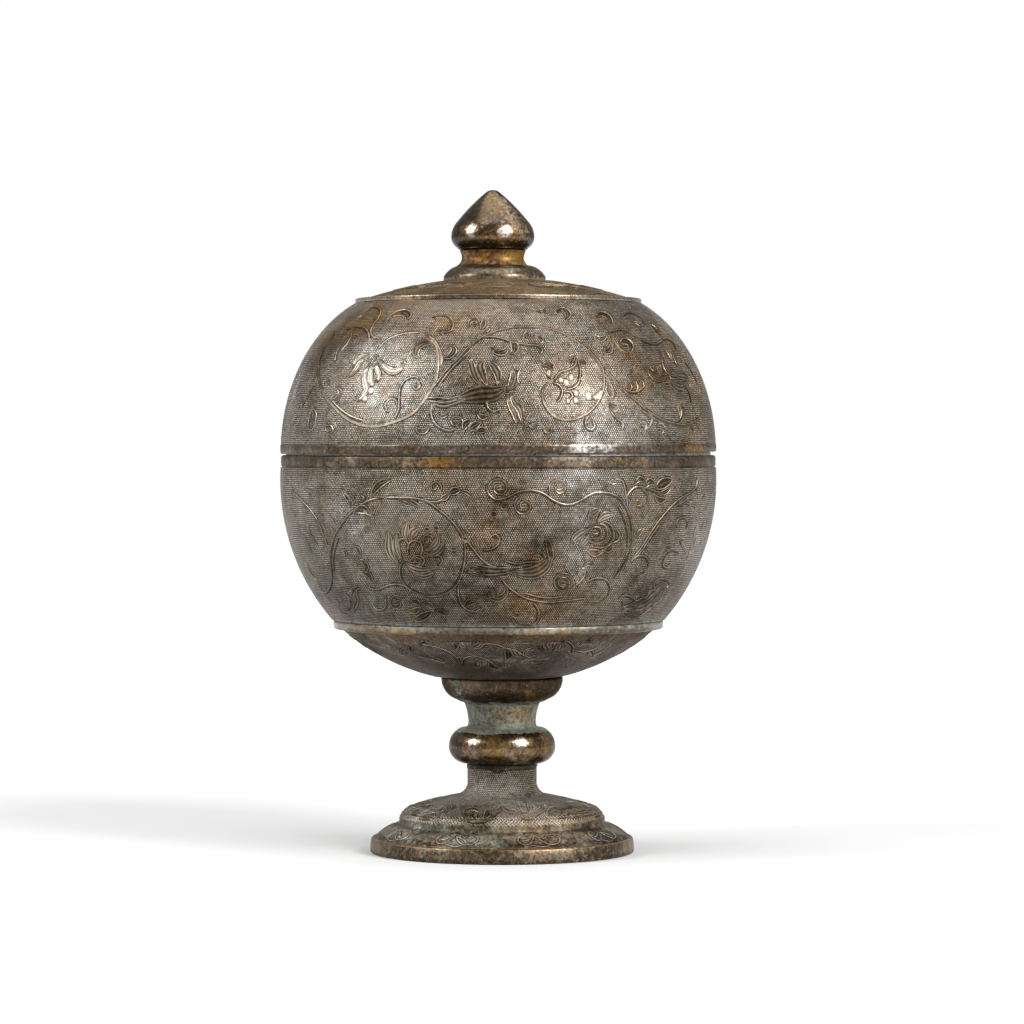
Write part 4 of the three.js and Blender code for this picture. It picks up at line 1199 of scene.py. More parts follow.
# Darker brown on the lower half of the wire, partly its own colour, partly painted shade on its underside.
stain(girdle, "brown", [((-8, -37, 51), 9, 0.4), ((24, -28, 51), 9, 0.4)], [(50.4, 51.4, 0.5)])
stain(girdle, "warm", rings=[(50.5, 51.5, 0.6)])
stain(girdle, "green", rings=[(52.1, 52.8, 0.45)])
# Painted highlights on the front of the wire.
stain(girdle, "pale_and_highlight", [((16, -33, 52), 12, 0.6), ((-18, -32, 52), 8, 0.3)])
# Painted shade along the wire's lowest edge.
stain(girdle, "dusk", rings=[(50.4, 50.9, 0.9)])
fit(girdle, "cup", "polished_bronze", wire_skin, "girdle_wire")


# Locating ring, rod and washers
# Plain bronze, unseen when the cup is closed: the ring soldered in the bowl's mouth, the rod
# and washers that hold foot, stem and bowl together, and the finial's tang and washer.

RING_WALL = 0.9

inner_skin = old_bronze("inner_bronze", (0.420, 0.410, 0.390, 1.0), 0.45, 1.7, brown=0.1, green=0.15)
ring_inside = RING_RADIUS - RING_WALL
outline = [(ring_inside, RING_LOW), (RING_RADIUS, RING_LOW), (RING_RADIUS, BOWL_TOP + 0.25)]
outline += [(RING_RADIUS - 0.8, RING_TOP - 0.2), (RING_RADIUS - 1.1, RING_TOP)]
outline += [(RING_RADIUS - 1.7, RING_TOP), (RING_RADIUS - 1.8, RING_TOP - 0.2), (ring_inside, BOWL_TOP)]
mouth_ring = turned("mouth_ring", outline, 0.0, 320)
fit(mouth_ring, "cup", "inner_bronze", inner_skin, "rim_flange")
for node in ("tie_rod", "foot_washer", "bowl_washer", "finial_tang", "finial_washer"):
    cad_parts[node].data.materials.clear()
    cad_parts[node].data.materials.append(inner_skin)


# Cover band
# The upper half of the globe, raised from one sheet, with a plain worn rim that rises a little
# to the right and a flat ledge at its top. A chased vine with flowers and a bird goes round it.

_, LEDGE_TOP, COVER_RADIUS, _ = span("cover_band")
SHOULDER_LOW, SHOULDER_TOP, SHOULDER_RADIUS, _ = span("shoulder_wire")
CROWN_LOW, CROWN_TOP, CROWN_RADIUS, _ = span("cover_crown")
COVER_FOOT = 90.4
COVER_TURN = 65.6
COVER_TOP_RADIUS = 32.6
COVER_PLAIN_TOP = 92.3
COVER_WALL = 0.75
COVER_INSIDE_TOP = 123.5
RIM_EDGE = 90.1
RIM_SKEW = 0.5
RIM_SKEW_TALL = 3.0


def swell(low, high, steps):
    """Part of an ellipse that leaves its lower end upright and turns through COVER_TURN."""
    full = math.radians(COVER_TURN)
    angles = np.linspace(0.0, full, steps + 1)
    inwards = (1.0 - np.cos(angles)) / (1.0 - math.cos(full))
    upwards = np.sin(angles) / math.sin(full)
    radius = low[0] + (high[0] - low[0]) * inwards
    height = low[1] + (high[1] - low[1]) * upwards
    return list(zip(radius.tolist(), height.tolist()))


COVER_DESIGN = {
    "vines": {
        "left loop": [(424, 331), (432, 340), (437, 351), (438, 363), (437, 374), (434, 385), (428, 395),
                      (423, 402), (416, 411), (406, 417.5), (393, 422.5), (380, 426), (366, 426),
                      (354, 422.5), (343, 416), (333, 406), (325, 396), (320, 383), (319, 369), (321, 357),
                      (325, 346)],
        "loop's outer line": [(428, 335), (436, 343), (441, 355), (441, 366)],
        "loop's inner line": [(331, 400), (341, 410), (352, 417), (364, 421)],
        "over the lily": [(423, 332), (406, 333), (393, 336.5), (383, 343), (377, 351)],
        "far left stem": [(300, 410), (307, 398), (315, 383), (318, 367), (322, 353), (328, 343),
                          (333, 337), (334, 330)],
        "ledge hook": [(369, 308), (376, 307.5), (380.5, 311), (378, 318), (373, 325), (370.5, 331.5),
                       (373, 337), (383, 339)],
        "left hook": [(346, 330), (355, 327), (364, 328), (368, 333), (369, 339)],
        "tendril": [(394, 421), (399, 409), (399.5, 398), (400.5, 388), (405, 381), (413, 377), (420, 379)],
        "tendril's curl": [(398, 408), (396, 400), (390, 399), (385, 405), (387, 411)],
        "hook over the loop": [(431, 318), (439, 315.5), (449, 317), (453, 324), (450, 331), (441, 332)],
        "middle stem": [(425, 400), (432, 390), (438, 382), (449, 368), (459, 358), (466, 350), (474, 343),
                        (484, 336.5), (496, 331.5), (511, 328), (527, 327), (541, 327.5), (552, 329.5),
                        (562, 333), (571, 338), (580, 344), (590, 352), (598, 361), (603, 371), (604, 382),
                        (602, 393), (597, 403), (590, 411), (580, 417), (567, 420), (556, 417), (548, 410),
                        (543, 400), (543, 389), (549, 381)],
        "stem's second line": [(440, 384), (452, 369), (463, 358), (471, 350)],
        "twig over the bird": [(481, 338), (491, 337), (502, 339), (514, 343), (527, 345), (537, 346),
                               (542, 350), (539, 355)],
        "twig's curls": [(533, 338), (538, 336), (543, 339), (541, 343)],
        "tail high": [(426, 398), (438, 398), (449, 399), (462, 396)],
        "tail": [(429, 401), (441, 403), (453, 401.5), (464, 398)],
        "tail low": [(433, 404), (443, 407), (455, 404), (468, 399)],
        "low twig": [(432, 405), (431, 416), (437, 426), (449, 431), (457, 428)],
        "bird's foot": [(486, 401), (487.5, 408), (494, 412), (501, 409)],
        "bird's breast": [(519, 369), (517, 378), (519, 384)],
        "right branch": [(603, 367), (611, 376), (617, 383.5), (623, 390), (631, 397), (637.5, 402),
                         (645, 409), (654, 415), (664, 420.5), (674, 423.5), (683, 425), (692, 423),
                         (698, 419), (703, 412)],
        "branch's second line": [(640, 409), (650, 416), (660, 422), (670, 426)],
        "branch's fork": [(690, 425), (694, 431)],
        "right crook": [(622, 317), (626, 325), (631, 331.5), (637.5, 337.5), (645, 342), (652, 344),
                        (658, 343.5), (662, 339)],
        "crook's eye": [(622, 317), (625, 314), (630, 313), (637.5, 316), (643, 321), (644, 327)],
        "heart's twig": [(597, 321), (601, 327), (607, 331), (613, 331), (621, 330), (630, 333)],
        "heart's loop": [(615, 332), (613, 337), (615, 342), (619, 347), (624, 351.5), (630, 354)],
        "twig down": [(611, 333), (613, 341), (612, 348), (608, 352)],
        "right flower's stem": [(661, 343), (662, 340), (668, 339.5), (674, 344.5), (676, 351)],
        "upper blades' stem": [(652, 326), (657, 332), (662, 337)],
        "right flower's tail": [(682, 385), (687, 389), (690, 396), (691, 404)],
        "right edge line": [(684, 361), (689, 368), (694, 376), (697, 383)],
        "low right twig": [(647, 410), (652, 417), (651, 424), (645, 430)],
        "right comma's stem": [(682, 404), (683.5, 412), (681.5, 420), (677, 424)],
        "three lobes' stalk": [(625, 389), (631, 392), (638, 391.5), (644, 387)],
        "inside right": [(604, 372), (609, 381), (613, 391), (612, 400)],
        "palmette's upper edge": [(553, 382), (559.5, 373), (565.5, 371), (572.5, 368), (576, 364),
                                  (576.4, 359)],
        "palmette's right edge": [(576.5, 359), (579.5, 366.5), (580, 375), (578, 383), (573, 387.5),
                                  (565.5, 389.5)],
        "palmette's stalk": [(552, 383), (558.5, 385), (562, 391), (560, 398.5), (556, 402)],
        "trefoil's hook": [(564.6, 391.8), (570, 392.5), (572, 396.4), (567.7, 400.5)],
        "ear's edge": [(590, 415), (585.5, 420), (586, 427), (591, 430), (595, 426), (592, 420)],
        "lower right scroll": [(610, 411), (616, 418), (623, 424), (622, 431)],
        "far left curl": [(312, 408), (316, 413), (315, 424), (310, 432)],
    },
    "leaves": {
        "in the loop": ([(436, 351), (433, 344), (426, 343), (418, 347), (416, 354), (421, 359)], 9),
        "beside the loop": ([(441, 358), (449, 357), (454, 350), (450, 345)], 7),
        "dark flame": ([(386, 322), (393, 315), (403, 312.5), (408, 316), (406, 321)], 10),
        "left comma": ([(335, 386), (340, 392), (337, 399), (331, 400)], 7),
        "far left": ([(313, 408), (311, 417), (308, 430)], 7),
        "left low": ([(325, 426), (332, 424), (335, 430), (331, 434)], 6),
        "over the stem": ([(469, 329), (470, 322), (476, 320), (480, 325)], 6),
        "trefoil": ([(480, 331), (483, 325), (485, 318)], 6),
        "trefoil low": ([(482, 333), (487, 330), (490, 326)], 5),
        "bird's leaf one": ([(492, 346), (496, 352), (504, 352), (508, 346)], 7),
        "bird's leaf two": ([(508, 354), (514, 351), (514, 344), (509, 340)], 8),
        "dark trefoil one": ([(463, 432), (466, 424), (472, 421)], 8),
        "dark trefoil two": ([(468, 433), (474, 426), (481, 423)], 8),
        "dark trefoil three": ([(474, 434), (481, 430), (487, 431)], 7),
        "comma below": ([(418, 424), (418, 430), (425, 431), (430, 425)], 6),
        "gold leaf": ([(595, 318), (601, 314), (608, 317), (613, 325)], 9),
        "twig leaf one": ([(594, 334), (600, 339), (607, 336)], 7),
        "twig leaf two": ([(602, 345), (605, 351), (610, 350), (611, 342)], 7),
        "heart": ([(619, 345), (624, 341), (630, 344), (631, 353)], 9),
        "lobe one": ([(629, 391), (630, 387), (629, 382)], 6),
        "lobe two": ([(635, 392), (636, 387), (635, 381)], 6),
        "lobe three": ([(640, 390), (642, 385), (641, 380)], 6),
        "right comma": ([(680, 419), (680, 411), (677, 403)], 6),
        "crook's eye leaf": ([(634, 321), (638, 324), (642, 325)], 6),
        "low right leaf": ([(640, 420), (644, 424), (645, 429)], 6),
        "low right leaf two": ([(655, 427), (661, 425), (665, 429)], 5),
        "over the palmette": ([(570, 364), (572, 360), (575, 356)], 5),
        "beside the palmette": ([(578, 364), (582, 362), (586, 364)], 4),
        "faint leaf one": ([(607, 384), (611, 392), (617, 396)], 6),
        "faint leaf two": ([(608, 403), (614, 409), (619, 407)], 7),
        "top leaf": ([(556, 313), (562, 309), (568, 314), (565, 321)], 8),
        "top leaf two": ([(536, 313), (543, 310), (548, 314)], 5),
        "small leaf": ([(357, 320), (360, 317), (364, 315)], 4),
        "by the palmette": ([(541, 366), (547, 364), (553, 369)], 6),
        "under the bird": ([(476, 412), (482, 417), (489, 416)], 6),
        "under the stem's start": ([(436, 412), (442, 416), (449, 414)], 5),
        "petals' seed": ([(664, 349), (669, 354), (672, 361)], 6),
    },
    "petals": {
        "lily upper": ([(371, 354), (363, 356), (356, 362), (352, 369)], 5),
        "lily left": ([(372, 360), (366, 370), (365, 380), (367, 389), (362, 397), (356, 402)], 8),
        "lily middle": ([(374, 360), (371, 370), (371, 380), (374, 388)], 7),
        "lily right middle": ([(377, 360), (377, 368), (379, 376), (376, 384)], 6),
        "lily right": ([(379, 358), (384, 366), (391, 371), (399, 370), (405, 364)], 8),
        "lily far left": ([(369, 357), (361, 362), (356, 370), (347, 378)], 7),
        "left blades": ([(334, 363), (340, 350), (348, 339), (351, 331)], 10),
        "wing back": ([(484, 388), (476, 378), (472, 367), (471, 358)], 8),
        "wing": ([(488, 388), (483, 376), (480, 366), (485, 360)], 10),
        "wing front": ([(497, 387), (498, 376), (494, 367), (488, 362)], 9),
        "drape one": ([(509, 392), (514, 402), (520, 410), (522, 424)], 8),
        "drape two": ([(506, 393), (510, 404), (515, 414), (517, 425)], 7),
        "right flower top": ([(661, 350), (664, 362), (668, 371), (678, 376)], 9),
        "right flower oval": ([(668, 350), (674, 354), (677, 363), (683, 369)], 8),
        "right flower right": ([(671, 372), (678, 375), (686, 377), (690, 387)], 9),
        "right flower foot": ([(669, 376), (673, 382), (680, 386), (687, 384)], 9),
        "upper blades": ([(648, 321), (655, 326), (661, 332)], 8),
        "comma": ([(603, 388), (600.5, 392.5), (596, 397), (590, 397.5)], 6),
        "left of the palmette": ([(551, 380), (549, 374), (551, 367)], 5),
    },
    "feathers": {
        "bird's body": ([(452, 400), (466, 397), (480, 394), (494, 393), (507, 387)], 19),
        "bird's neck": ([(505, 391), (511, 386), (514, 377), (512, 367)], 9),
        "right flower left": ([(668, 378), (659, 378), (652, 374), (650, 367)], 11),
    },
    "spirals": {
        "tendril's end": (416, 386, 5.5, 1.1, 60, -1), "lily's": (376, 357, 4.0, 1.0, 180, 1),
        "lily's second": (368, 358, 3.6, 1.0, 0, -1), "lily's left curl": (356, 397, 4.6, 1.1, 30, -1),
        "lily's right curl": (403, 362, 4.4, 1.1, 200, 1), "low": (456, 422, 7.5, 1.3, 0, 1),
        "over the twig": (527, 336, 4.8, 1.1, 200, -1), "foot": (547, 429, 5.5, 1.3, 0, -1),
        "foot's fellow": (533, 425, 4.5, 1.1, 180, 1), "right flower's": (656, 368, 5.0, 1.1, 0, 1),
        "left": (329, 429, 4.5, 1.1, 90, 1), "below the branch": (660, 432, 4.0, 1.1, 90, -1),
    },
    "bosses": {
        "lily's end": (371, 391, 3.6), "lily's lobe": (365, 399, 3.2), "comma's head": (588.7, 396.4, 4.2),
        "palmette lobe one": (571, 377, 3.4), "palmette lobe two": (566, 382.5, 3.8),
        "palmette lobe three": (560.5, 379.5, 3.2), "trefoil one": (576, 393.3, 3.2),
        "trefoil two": (568, 401, 2.8), "trefoil three": (575.5, 400.5, 3.2),
    },
    "beads": {
        "tendril's": (388, 409, 3.0), "hook's": (439, 331, 3.4), "left": (354, 338, 2.4),
        "over the stem": (475, 325, 2.4), "crest": (512, 370, 2.6), "flower": (667, 384, 2.6),
        "crook's": (637, 323, 2.6), "right comma's": (678, 405, 2.6), "low right": (642, 424, 2.6),
        "twig leaf's": (595, 336, 2.0), "heart": (625, 346, 2.6),
    },
}

cover_arc = swell((COVER_RADIUS, COVER_FOOT), (COVER_TOP_RADIUS, SHOULDER_LOW), 110)
cover_ground = [point for point in cover_arc if point[1] > COVER_PLAIN_TOP]
cover_plain = [(49.34, COVER_FOOT), (49.36, COVER_FOOT + 1.0), (49.36, COVER_FOOT + 1.5)]
cover_plain += [(49.30, COVER_PLAIN_TOP - 0.15), (49.14, COVER_PLAIN_TOP - 0.02)]
band_out = cover_plain + cover_ground
cover_work = Chasing(band_out, 0.0)
cover_work.draw(COVER_DESIGN, 2)
top = [(31.1, SHOULDER_LOW), (31.1, SHOULDER_TOP), (29.5, LEDGE_TOP), (29.5, CROWN_LOW)]
top += [(27.35, CROWN_LOW), (27.35, COVER_INSIDE_TOP)]
inside_radius = COVER_RADIUS - COVER_WALL
inside = swell((inside_radius, COVER_FOOT), (30.0, COVER_INSIDE_TOP), 24)[::-1]
inside += [(inside_radius, RIM_EDGE), (COVER_RADIUS - 0.2, RIM_EDGE)]
cover_band = turned("cover_band_sheet", band_out + top + inside, 0.0, 320)
plain_arc = cover_work.arc[len(cover_plain) - 1]
cover_work.rows(cover_band, [(0.0, plain_arc), (cover_work.arc[-1] - 0.4, cover_work.arc[-1])])
skew_top = (RIM_EDGE + RIM_SKEW_TALL) * MM
for vertex in cover_band.data.vertices:
    if vertex.co.z < skew_top:
        share = (skew_top - vertex.co.z) / (RIM_SKEW_TALL * MM)
        vertex.co.z += RIM_SKEW * MM * share * (vertex.co.x / MM + COVER_RADIUS) / (2 * COVER_RADIUS)
cover_scrolls = cover_work.piece("cover_band_scrolls")
cover_skin = old_bronze("cover_bronze", (0.324, 0.266, 0.201, 1.0), 0.40, 2.1, cover_work.punching(),
                        edge_shine=0.75, brown=0.18, tan=0.20, green=0.08, gold=0.08)
COVER_TONES = {
    # Partly painted highlight where the left soft box shines by the lily and along the rim, painted
    # reflection along the limbs, and partly paler metal.
    "pale_and_highlight": {
        "lily": (394, 386, 8.5, 1.0), "over the lily": (372, 350, 6.0, 0.7), "left": (335, 415, 6.0, 0.3),
        "under the ring": (440, 422, 6.0, 0.5), "under the bird": (530, 425, 6.0, 0.6),
        "rim middle": (610, 442, 6.0, 0.9), "left limb": (294, 400, 6.0, 0.6),
        "under it": (592, 425, 5.0, 0.5), "right stem": (600, 400, 4.0, 0.4),
        "right low": (645, 422, 6.0, 0.5), "high right": (650, 398, 4.0, 0.3), "rim": (585, 446, 3.0, 0.6),
        "limb low": (300, 435, 4.0, 0.3),
    },
    "warm": {
        "ledge left": (345, 325, 6.5, 1.0), "ledge": (380, 310, 6.0, 1.0),
        "ledge middle": (415, 308, 5.0, 0.6), "upper right limb": (668, 340, 5.0, 0.8),
        "third ledge": (362, 326, 4.0, 0.9), "right edge": (700, 400, 6.0, 0.6),
        "left of the ledge": (322, 345, 4.0, 0.4), "under the ledge": (465, 318, 5.0, 0.6),
        "left stem": (325, 345, 4.0, 0.5), "hook": (443, 325, 3.0, 0.5), "bird": (485, 390, 5.0, 0.6),
        "bird's tail": (510, 425, 5.0, 0.4), "heart": (628, 352, 4.5, 0.8),
        "right flower": (662, 372, 5.0, 0.7), "right branch": (640, 390, 5.0, 0.7),
        "right": (690, 425, 5.0, 0.6), "gold leaf": (603, 318, 3.5, 0.6),
        "right limb": (690, 365, 5.0, 0.5),
    },
    "cool": {
        "right": (625, 365, 4.0, 0.4), "left low": (310, 440, 6.0, 0.4), "middle": (455, 375, 4.0, 0.15),
        "low": (420, 435, 7.0, 0.3), "top middle": (500, 315, 4.0, 0.3),
    },
    "dusk": {
        "left": (318, 362, 5.0, 0.7), "under the bird": (462, 412, 6.0, 0.5),
        "over the bird": (480, 375, 6.0, 0.12), "top right": (640, 310, 5.0, 0.7),
        "right edge": (688, 395, 6.0, 0.1), "right": (655, 350, 4.0, 0.5), "ledge": (450, 305, 5.0, 0.4),
        "ledge far left": (370, 310, 6.0, 0.3), "ledge left": (350, 318, 2.5, 0.4),
        "flower": (445, 345, 2.5, 0.4), "rim right": (680, 446, 5.0, 0.5),
        "rim left": (450, 450, 5.0, 0.15), "right flower": (668, 372, 3.5, 0.6),
        "flower's tail": (655, 385, 2.5, 0.3), "heart": (638, 352, 2.5, 0.5),
        "ring's top": (352, 375, 3.0, 0.4),
    },
}
for piece in (cover_band, cover_scrolls):
    for tone, places in COVER_TONES.items():
        stain(piece, tone, cover_work.spots(places))
    stain(piece, "brown", rings=[(89.9, 92.2, 0.7)])
    # Painted highlights on the plain rim, where the soft boxes shine on it.
    wear_and_highlight = cover_work.spots({"rim": (580, 447, 5.0, 0.8), "rim right": (612, 446, 3.0, 0.5)})
    stain(piece, "highlight_spot", wear_and_highlight)
    stain(piece, "tan", [((0, -38, 118), 12, 0.25), ((-26, -34, 116), 8, 0.2)])
    stain(piece, "gold", [((34, -30, 112), 9, 0.15), ((44, -22, 91), 9, 0.5)], [(89.9, 92.2, 0.12)])
fit(cover_band, "cover", "punched_bronze", cover_skin, "cover_band")
fit(cover_scrolls, "cover", "punched_bronze", cover_skin)


# Crown
# A shallow raised dish, let into the ledge of the cover and soldered there. It is ring-punched
# round a ring of small chased scrolls, and its metal has turned gold-brown.

CROWN_SCROLLS = 13
CROWN_LEAVES = 5
CROWN_SHEET = 1.1
SCROLL_RING = 21.0
SCROLL_ARC = 7.6
SCROLL_REACH = 3.6
SCROLL_TURNS = 1.3
SCROLL_LINE = 0.30
PETAL_ARC = 8.0
PETAL_SHIFT = 0.36
PETAL_REACH = 2.7
PETAL_LINE = 0.8

crown_edge = (CROWN_RADIUS, 125.55)
crown_out = [crown_edge] + arc(crown_edge, (13.1, CROWN_TOP), 0.04, 30)
crown_work = Chasing(crown_out, 0.0)
for number in range(CROWN_SCROLLS):
    middle = 2.0 * math.pi * number / CROWN_SCROLLS
    hand = 1 if number % 2 else -1
    share = np.linspace(0.0, 1.0, 34)
    turn = share * 2.0 * math.pi * SCROLL_TURNS
    reach = SCROLL_REACH * (1.0 - 0.8 * share)
    across = middle + hand * reach * np.cos(turn) * 1.2 / SCROLL_RING
    scroll = np.stack([across, SCROLL_ARC + reach * np.sin(turn)], axis=1)
    crown_work.stroke(scroll, SCROLL_LINE, VINE)
    for leaf in range(CROWN_LEAVES):
        aim = math.radians(360.0 / CROWN_LEAVES * leaf + 15.0 * hand)
        share = np.linspace(0.05, 1.0, 9)
        across = middle + hand * PETAL_SHIFT + PETAL_REACH * share * math.cos(aim) / SCROLL_RING
        petal = np.stack([across, PETAL_ARC + PETAL_REACH * share * math.sin(aim)], axis=1)
        full = np.maximum(PETAL_LINE * np.sin(math.pi * share), LEAST_LINE)
        crown_work.stroke(petal, full, PETAL if leaf % 2 else LEAF)
crown_inside = CROWN_TOP - CROWN_SHEET
outline = crown_out + [(3.55, CROWN_TOP), (3.55, crown_inside), (8.15, crown_inside)]
outline += arc(outline[-1], (CROWN_RADIUS - CROWN_SHEET, CROWN_LOW), -0.04, 10)
crown = turned("crown_dish", outline + [(CROWN_RADIUS, CROWN_LOW)], 0.0, 256)
crown_work.rows(crown)
crown_scrolls = crown_work.piece("crown_scrolls")
crown_skin = old_bronze("crown_bronze", (0.350, 0.262, 0.085, 1.0), 0.48, 2.6, crown_work.punching(),
                        edge_shine=0.3, brown=0.36, tan=0.34, gold=0.55)
for piece in (crown, crown_scrolls):
    stain(piece, "gold", [((0, -27, 126), 12, 0.3)])
    stain(piece, "warm", rings=[(125.3, 129.4, 0.3)])
    stain(piece, "brown", [((-12, -18, 127.5), 4, 0.6), ((-4, -16, 128.5), 4, 0.5),
                           ((8, -20, 127.3), 4, 0.5), ((20, -16, 126.5), 5, 0.6),
                           ((-22, -14, 126.5), 4, 0.4)])
    # Pale spots, partly worn metal, partly painted highlight on the upward face.
    stain(piece, "pale_and_highlight", [((-18, -17, 127), 4, 0.4), ((2, -20, 127.5), 4, 0.4), ((14, -16, 127.5), 4, 0.5)])
fit(crown, "cover", "punched_bronze", crown_skin, "cover_crown")
fit(crown_scrolls, "cover", "punched_bronze", crown_skin)


# Shoulder wire
# A rounded bronze wire, soldered round the cover where its band turns in to the ledge. Hands
# have rubbed it, and painted highlights brighten its front at the left and right.

SHOULDER_WIDE = 1.3

shoulder_skin = old_bronze("shoulder_bronze", (0.320, 0.255, 0.180, 1.0), 0.28, 4.7, grain=0.5, wax=0.3,
                           brown=0.32, gold=0.25)
outline = wire(SHOULDER_RADIUS, SHOULDER_WIDE, SHOULDER_LOW, SHOULDER_TOP)
shoulder = turned("shoulder_ring", outline, 0.0, 320)
stain(shoulder, "gold", [((0, -32, 125), 9, 0.3)])
stain(shoulder, "brown", [((-6, -32, 125), 9, 0.7)])
# Painted highlights on the front, at the left and right.
stain(shoulder, "pale_and_highlight", [((14, -29, 125), 10, 0.7), ((-22, -24, 125), 6, 0.4)])
fit(shoulder, "cover", "polished_bronze", shoulder_skin, "shoulder_wire")


# Finial
# Collar, waisted neck and bud, each cast and turned in bronze and polished by hands. They are
# stacked on one tang, a little out of line, and the tang is hammered over inside the cover.

_, COLLAR_TOP, COLLAR_RADIUS, FINIAL_X = span("finial_collar")
_, FINIAL_NECK_TOP, FINIAL_NECK_END, _ = span("finial_neck")
_, BUD_TOP, _, _ = span("finial_bud")
COLLAR_X = -0.85
COLLAR_BORE = 2.6
TANG_BORE = 2.1
TANG_TOP = 142.7

collar_skin = old_bronze("collar_bronze", (0.175, 0.130, 0.080, 1.0), 0.38, 5.3, grain=0.3, wax=0.2,
                         edge_shine=0.4, brown=0.36, gold=0.26, tan=0.24, green=0.12)
collar_edge = (COLLAR_RADIUS, CROWN_TOP + 1.0)
outline = [(COLLAR_BORE, CROWN_TOP), (COLLAR_RADIUS - 0.1, CROWN_TOP), (COLLAR_RADIUS, CROWN_TOP + 0.2)]
outline += [collar_edge] + arc(collar_edge, (8.3, COLLAR_TOP), 0.22, 12) + [(COLLAR_BORE, COLLAR_TOP)]
collar = turned("collar_ring", outline, COLLAR_X, 192)
stain(collar, "tan", rings=[(129.1, 129.9, 0.6)])
# Painted highlight on the front right.
stain(collar, "pale_and_highlight", [((3, -10, 131), 3.5, 0.35)])
stain(collar, "brown", [((-9, -6, 131), 4, 0.5)])
fit(collar, "cover", "polished_bronze", collar_skin, "finial_collar")

finial_neck_skin = old_bronze("finial_neck_bronze", (0.330, 0.160, 0.045, 1.0), 0.44, 5.9, grain=0.5,
                              edge_shine=0.3, brown=0.15, rust=0.32, gold=0.40, tan=0.18, green=0.14)
neck_low = (FINIAL_NECK_END, COLLAR_TOP)
neck_waist = (7.0, COLLAR_TOP + 1.7)
outline = [(TANG_BORE, COLLAR_TOP), neck_low] + arc(neck_low, neck_waist, -0.25, 8)
outline += arc(neck_waist, (7.5, FINIAL_NECK_TOP), -0.12, 6) + [(TANG_BORE, FINIAL_NECK_TOP)]
finial_neck = turned("neck_ring", outline, FINIAL_X, 160)
stain(finial_neck, "gold", [((5, -5, 134.5), 3, 1.0)])
stain(finial_neck, "rust", [((0, -7.5, 134.5), 2.5, 0.6), ((-5, -5, 134.5), 2.0, 0.5)])
stain(finial_neck, "tan", rings=[(132.6, 133.4, 0.4)])
stain(finial_neck, "green", [((-8, -3, 135), 4, 0.4)])
fit(finial_neck, "cover", "polished_bronze", finial_neck_skin, "finial_neck")

bud_skin = old_bronze("bud_bronze", (0.120, 0.072, 0.028, 1.0), 0.30, 6.4, grain=0.3, wax=0.45,
                      edge_shine=0.25, brown=0.44, rust=0.16, gold=0.22, tan=0.18)
bud_low = (7.9, 136.68)
bud_girth = (9.42, 139.25)
bud_shoulder = (8.0, 142.8)
bud_tip = (1.76, 149.2)
bud_point = (0.04, BUD_TOP)
outline = [(TANG_BORE, FINIAL_NECK_TOP), (7.3, FINIAL_NECK_TOP), (7.5, 136.3), (7.95, 136.55), bud_low]
outline += arc(bud_low, bud_girth, 0.2736, 12) + arc(bud_girth, bud_shoulder, 0.1926, 12)
outline += arc(bud_shoulder, bud_tip, 0.05, 16) + arc(bud_tip, bud_point, 0.2, 6)
outline += [(bud_point[0], TANG_TOP), (TANG_BORE, TANG_TOP)]
bud = turned("bud", outline, FINIAL_X, 192)
stain(bud, "brown", rings=[(136.0, 138.0, 0.5)])
stain(bud, "rust", [((-2, -4, 146.5), 2.0, 0.4), ((-3, -8, 141), 1.6, 0.4)])
stain(bud, "gold", [((4, -8, 139.5), 3.5, 0.4), ((-2, -5, 145.5), 2.0, 0.2), ((-1, -9, 139), 2.0, 0.4)])
# Painted highlights where the two side soft boxes shine on the bud.
stain(bud, "highlight_spot", [((-6.3, -7.7, 140.3), 1.9, 0.95), ((1.6, -8.9, 140.2), 2.0, 0.95)])
stain(bud, "dusk", [((-6, -5, 144), 3.4, 0.9), ((6, -5, 144), 2.4, 0.5), ((-9, -2, 139), 2.5, 0.5)],
      [(136.0, 137.4, 0.6)])
stain(bud, "tan", [((4, -7, 143), 3.2, 0.55), ((2, -4, 147), 2.4, 0.6), ((-3, -8, 141.5), 1.4, 0.4),
                   ((7, -6, 139.5), 2.4, 0.4)])
fit(bud, "cover", "polished_bronze", bud_skin, "finial_bud")


# Floor, light and camera
# A pale studio floor that fades into a white background, with one soft box to the left, one in
# front to the right and one overhead. The room in front is dimmer than the background.

FLOOR_HALF = 4.0
WHITE = (1.0, 1.0, 1.0, 1.0)
BLACK = (0.0, 0.0, 0.0, 1.0)
FLOOR_GREY = (0.64, 0.64, 0.64, 1.0)

# Distances in metres between which the floor's glow sets in, and how strong it gets.
GLOW_REACH = (0.12, 0.90)
GLOW = 0.75

# Strength of the room's light in front of the cup, and how much is added behind it.
ROOM_LIGHT = 0.33
BACK_LIGHT = 0.22

floor_mesh = bpy.data.meshes.new("floor")
signs = ((-1, -1), (1, -1), (1, 1), (-1, 1))
floor_mesh.from_pydata([(x * FLOOR_HALF, y * FLOOR_HALF, 0) for x, y in signs], [], [(0, 1, 2, 3)])
floor = bpy.data.objects.new("floor", floor_mesh)
bpy.context.scene.collection.objects.link(floor)
floor_skin = bpy.data.materials.new("floor_white")
floor_skin.use_nodes = True
floor_shader = floor_skin.node_tree.nodes["Principled BSDF"]
floor_shader.inputs["Base Color"].default_value = FLOOR_GREY
floor_shader.inputs["Roughness"].default_value = 0.95
floor_shader.inputs["Specular IOR Level"].default_value = 0.0
floor_shader.inputs["Emission Strength"].default_value = 1.0
ground = Link(floor_skin.node_tree)
place = ground.node("ShaderNodeTexCoord", output=3)
reach = ground.node("ShaderNodeVectorMath", {"operation": "LENGTH"}, {0: place}, output=1)
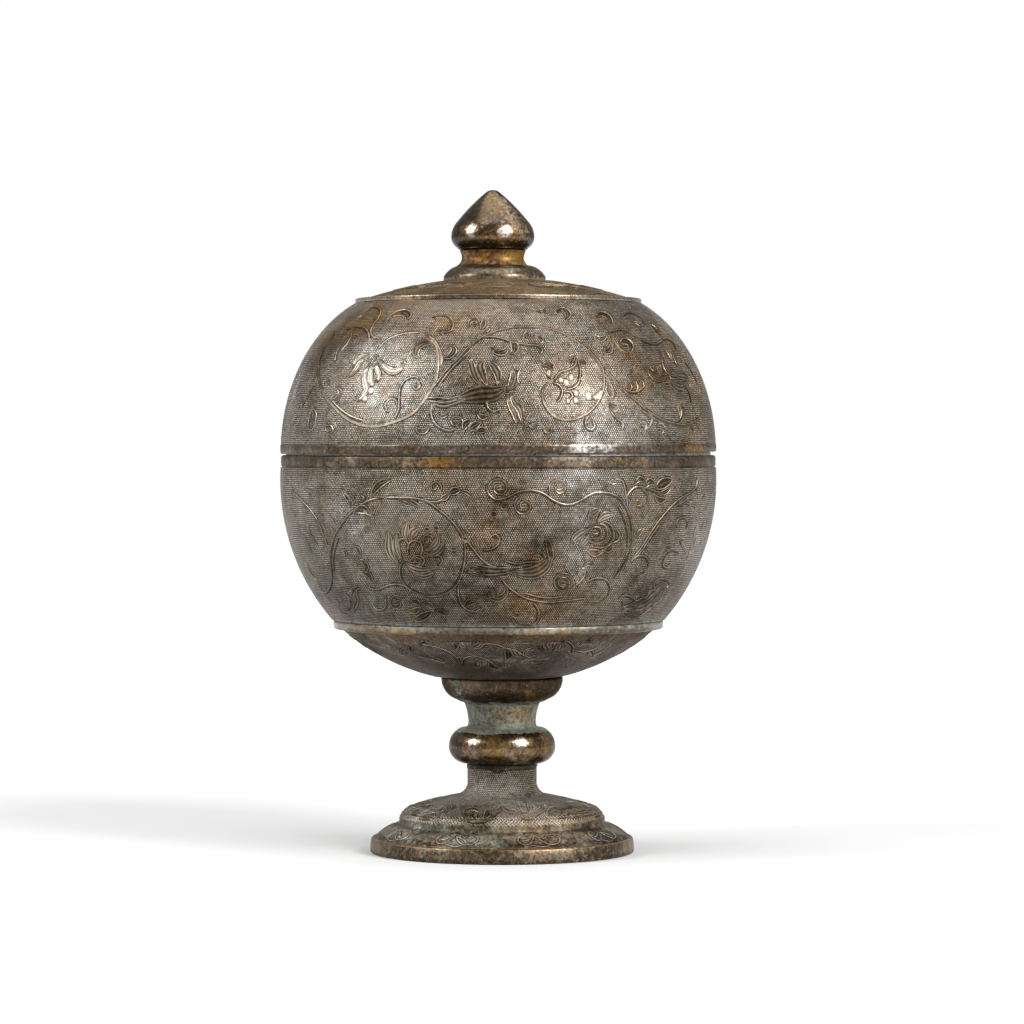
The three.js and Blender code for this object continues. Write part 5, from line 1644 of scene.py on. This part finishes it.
glow = (reach.clear(*GLOW_REACH) * GLOW).over(BLACK, WHITE)
floor_skin.node_tree.links.new(glow.socket, floor_shader.inputs["Emission Color"])
floor_mesh.materials.append(floor_skin)

world = bpy.data.worlds.new("studio")
world.use_nodes = True
sky = Link(world.node_tree)
depth = sky.node("ShaderNodeSeparateXYZ", None, {0: sky.node("ShaderNodeTexCoord", output=0)}, output=1)
behind = depth.clear(-0.25, 0.60)
seen_share = sky.node("ShaderNodeLightPath", output=0)
strength = (behind * BACK_LIGHT + ROOM_LIGHT).math("MAXIMUM", seen_share)
background = world.node_tree.nodes["Background"]
background.inputs["Color"].default_value = WHITE
world.node_tree.links.new(strength.socket, background.inputs["Strength"])
bpy.context.scene.world = world

# Height at which the soft boxes aim, in metres.
AIM_HIGH = 0.1


def softbox(name, place, size, power):
    """A soft box that faces the cup."""
    light = bpy.data.lights.new(name, "AREA")
    light.shape = "RECTANGLE"
    light.size, light.size_y = size
    light.energy = power
    lamp = bpy.data.objects.new(name, light)
    bpy.context.scene.collection.objects.link(lamp)
    lamp.location = place
    x, y, z = place
    down = math.atan2(z - AIM_HIGH, math.hypot(x, y))
    lamp.rotation_euler = (math.pi / 2 - down, 0.0, math.atan2(x, -y))


softbox("left_box", (-0.80, -0.25, 0.645), (0.38, 0.46), 7.8)
softbox("right_box", (0.625, -0.56, 0.630), (0.42, 0.54), 12.0)
softbox("top_box", (0.0, 0.05, 1.1), (0.9, 0.9), 7.0)

camera_data = bpy.data.cameras.new("camera")
camera_data.sensor_width = 36.0
camera_data.lens = LENS_PX * camera_data.sensor_width / (2.0 * MIDDLE_PX)
camera_data.shift_y = (HORIZON_PX - MIDDLE_PX) / (2.0 * MIDDLE_PX)
camera = bpy.data.objects.new("camera", camera_data)
bpy.context.scene.collection.objects.link(camera)
camera.location = (CAMERA_RIGHT * MM, -CAMERA_AWAY * MM, CAMERA_HIGH * MM)
camera.rotation_euler = (math.pi / 2, 0.0, 0.0)
bpy.context.scene.camera = camera
bpy.context.scene.view_settings.view_transform = "Standard"
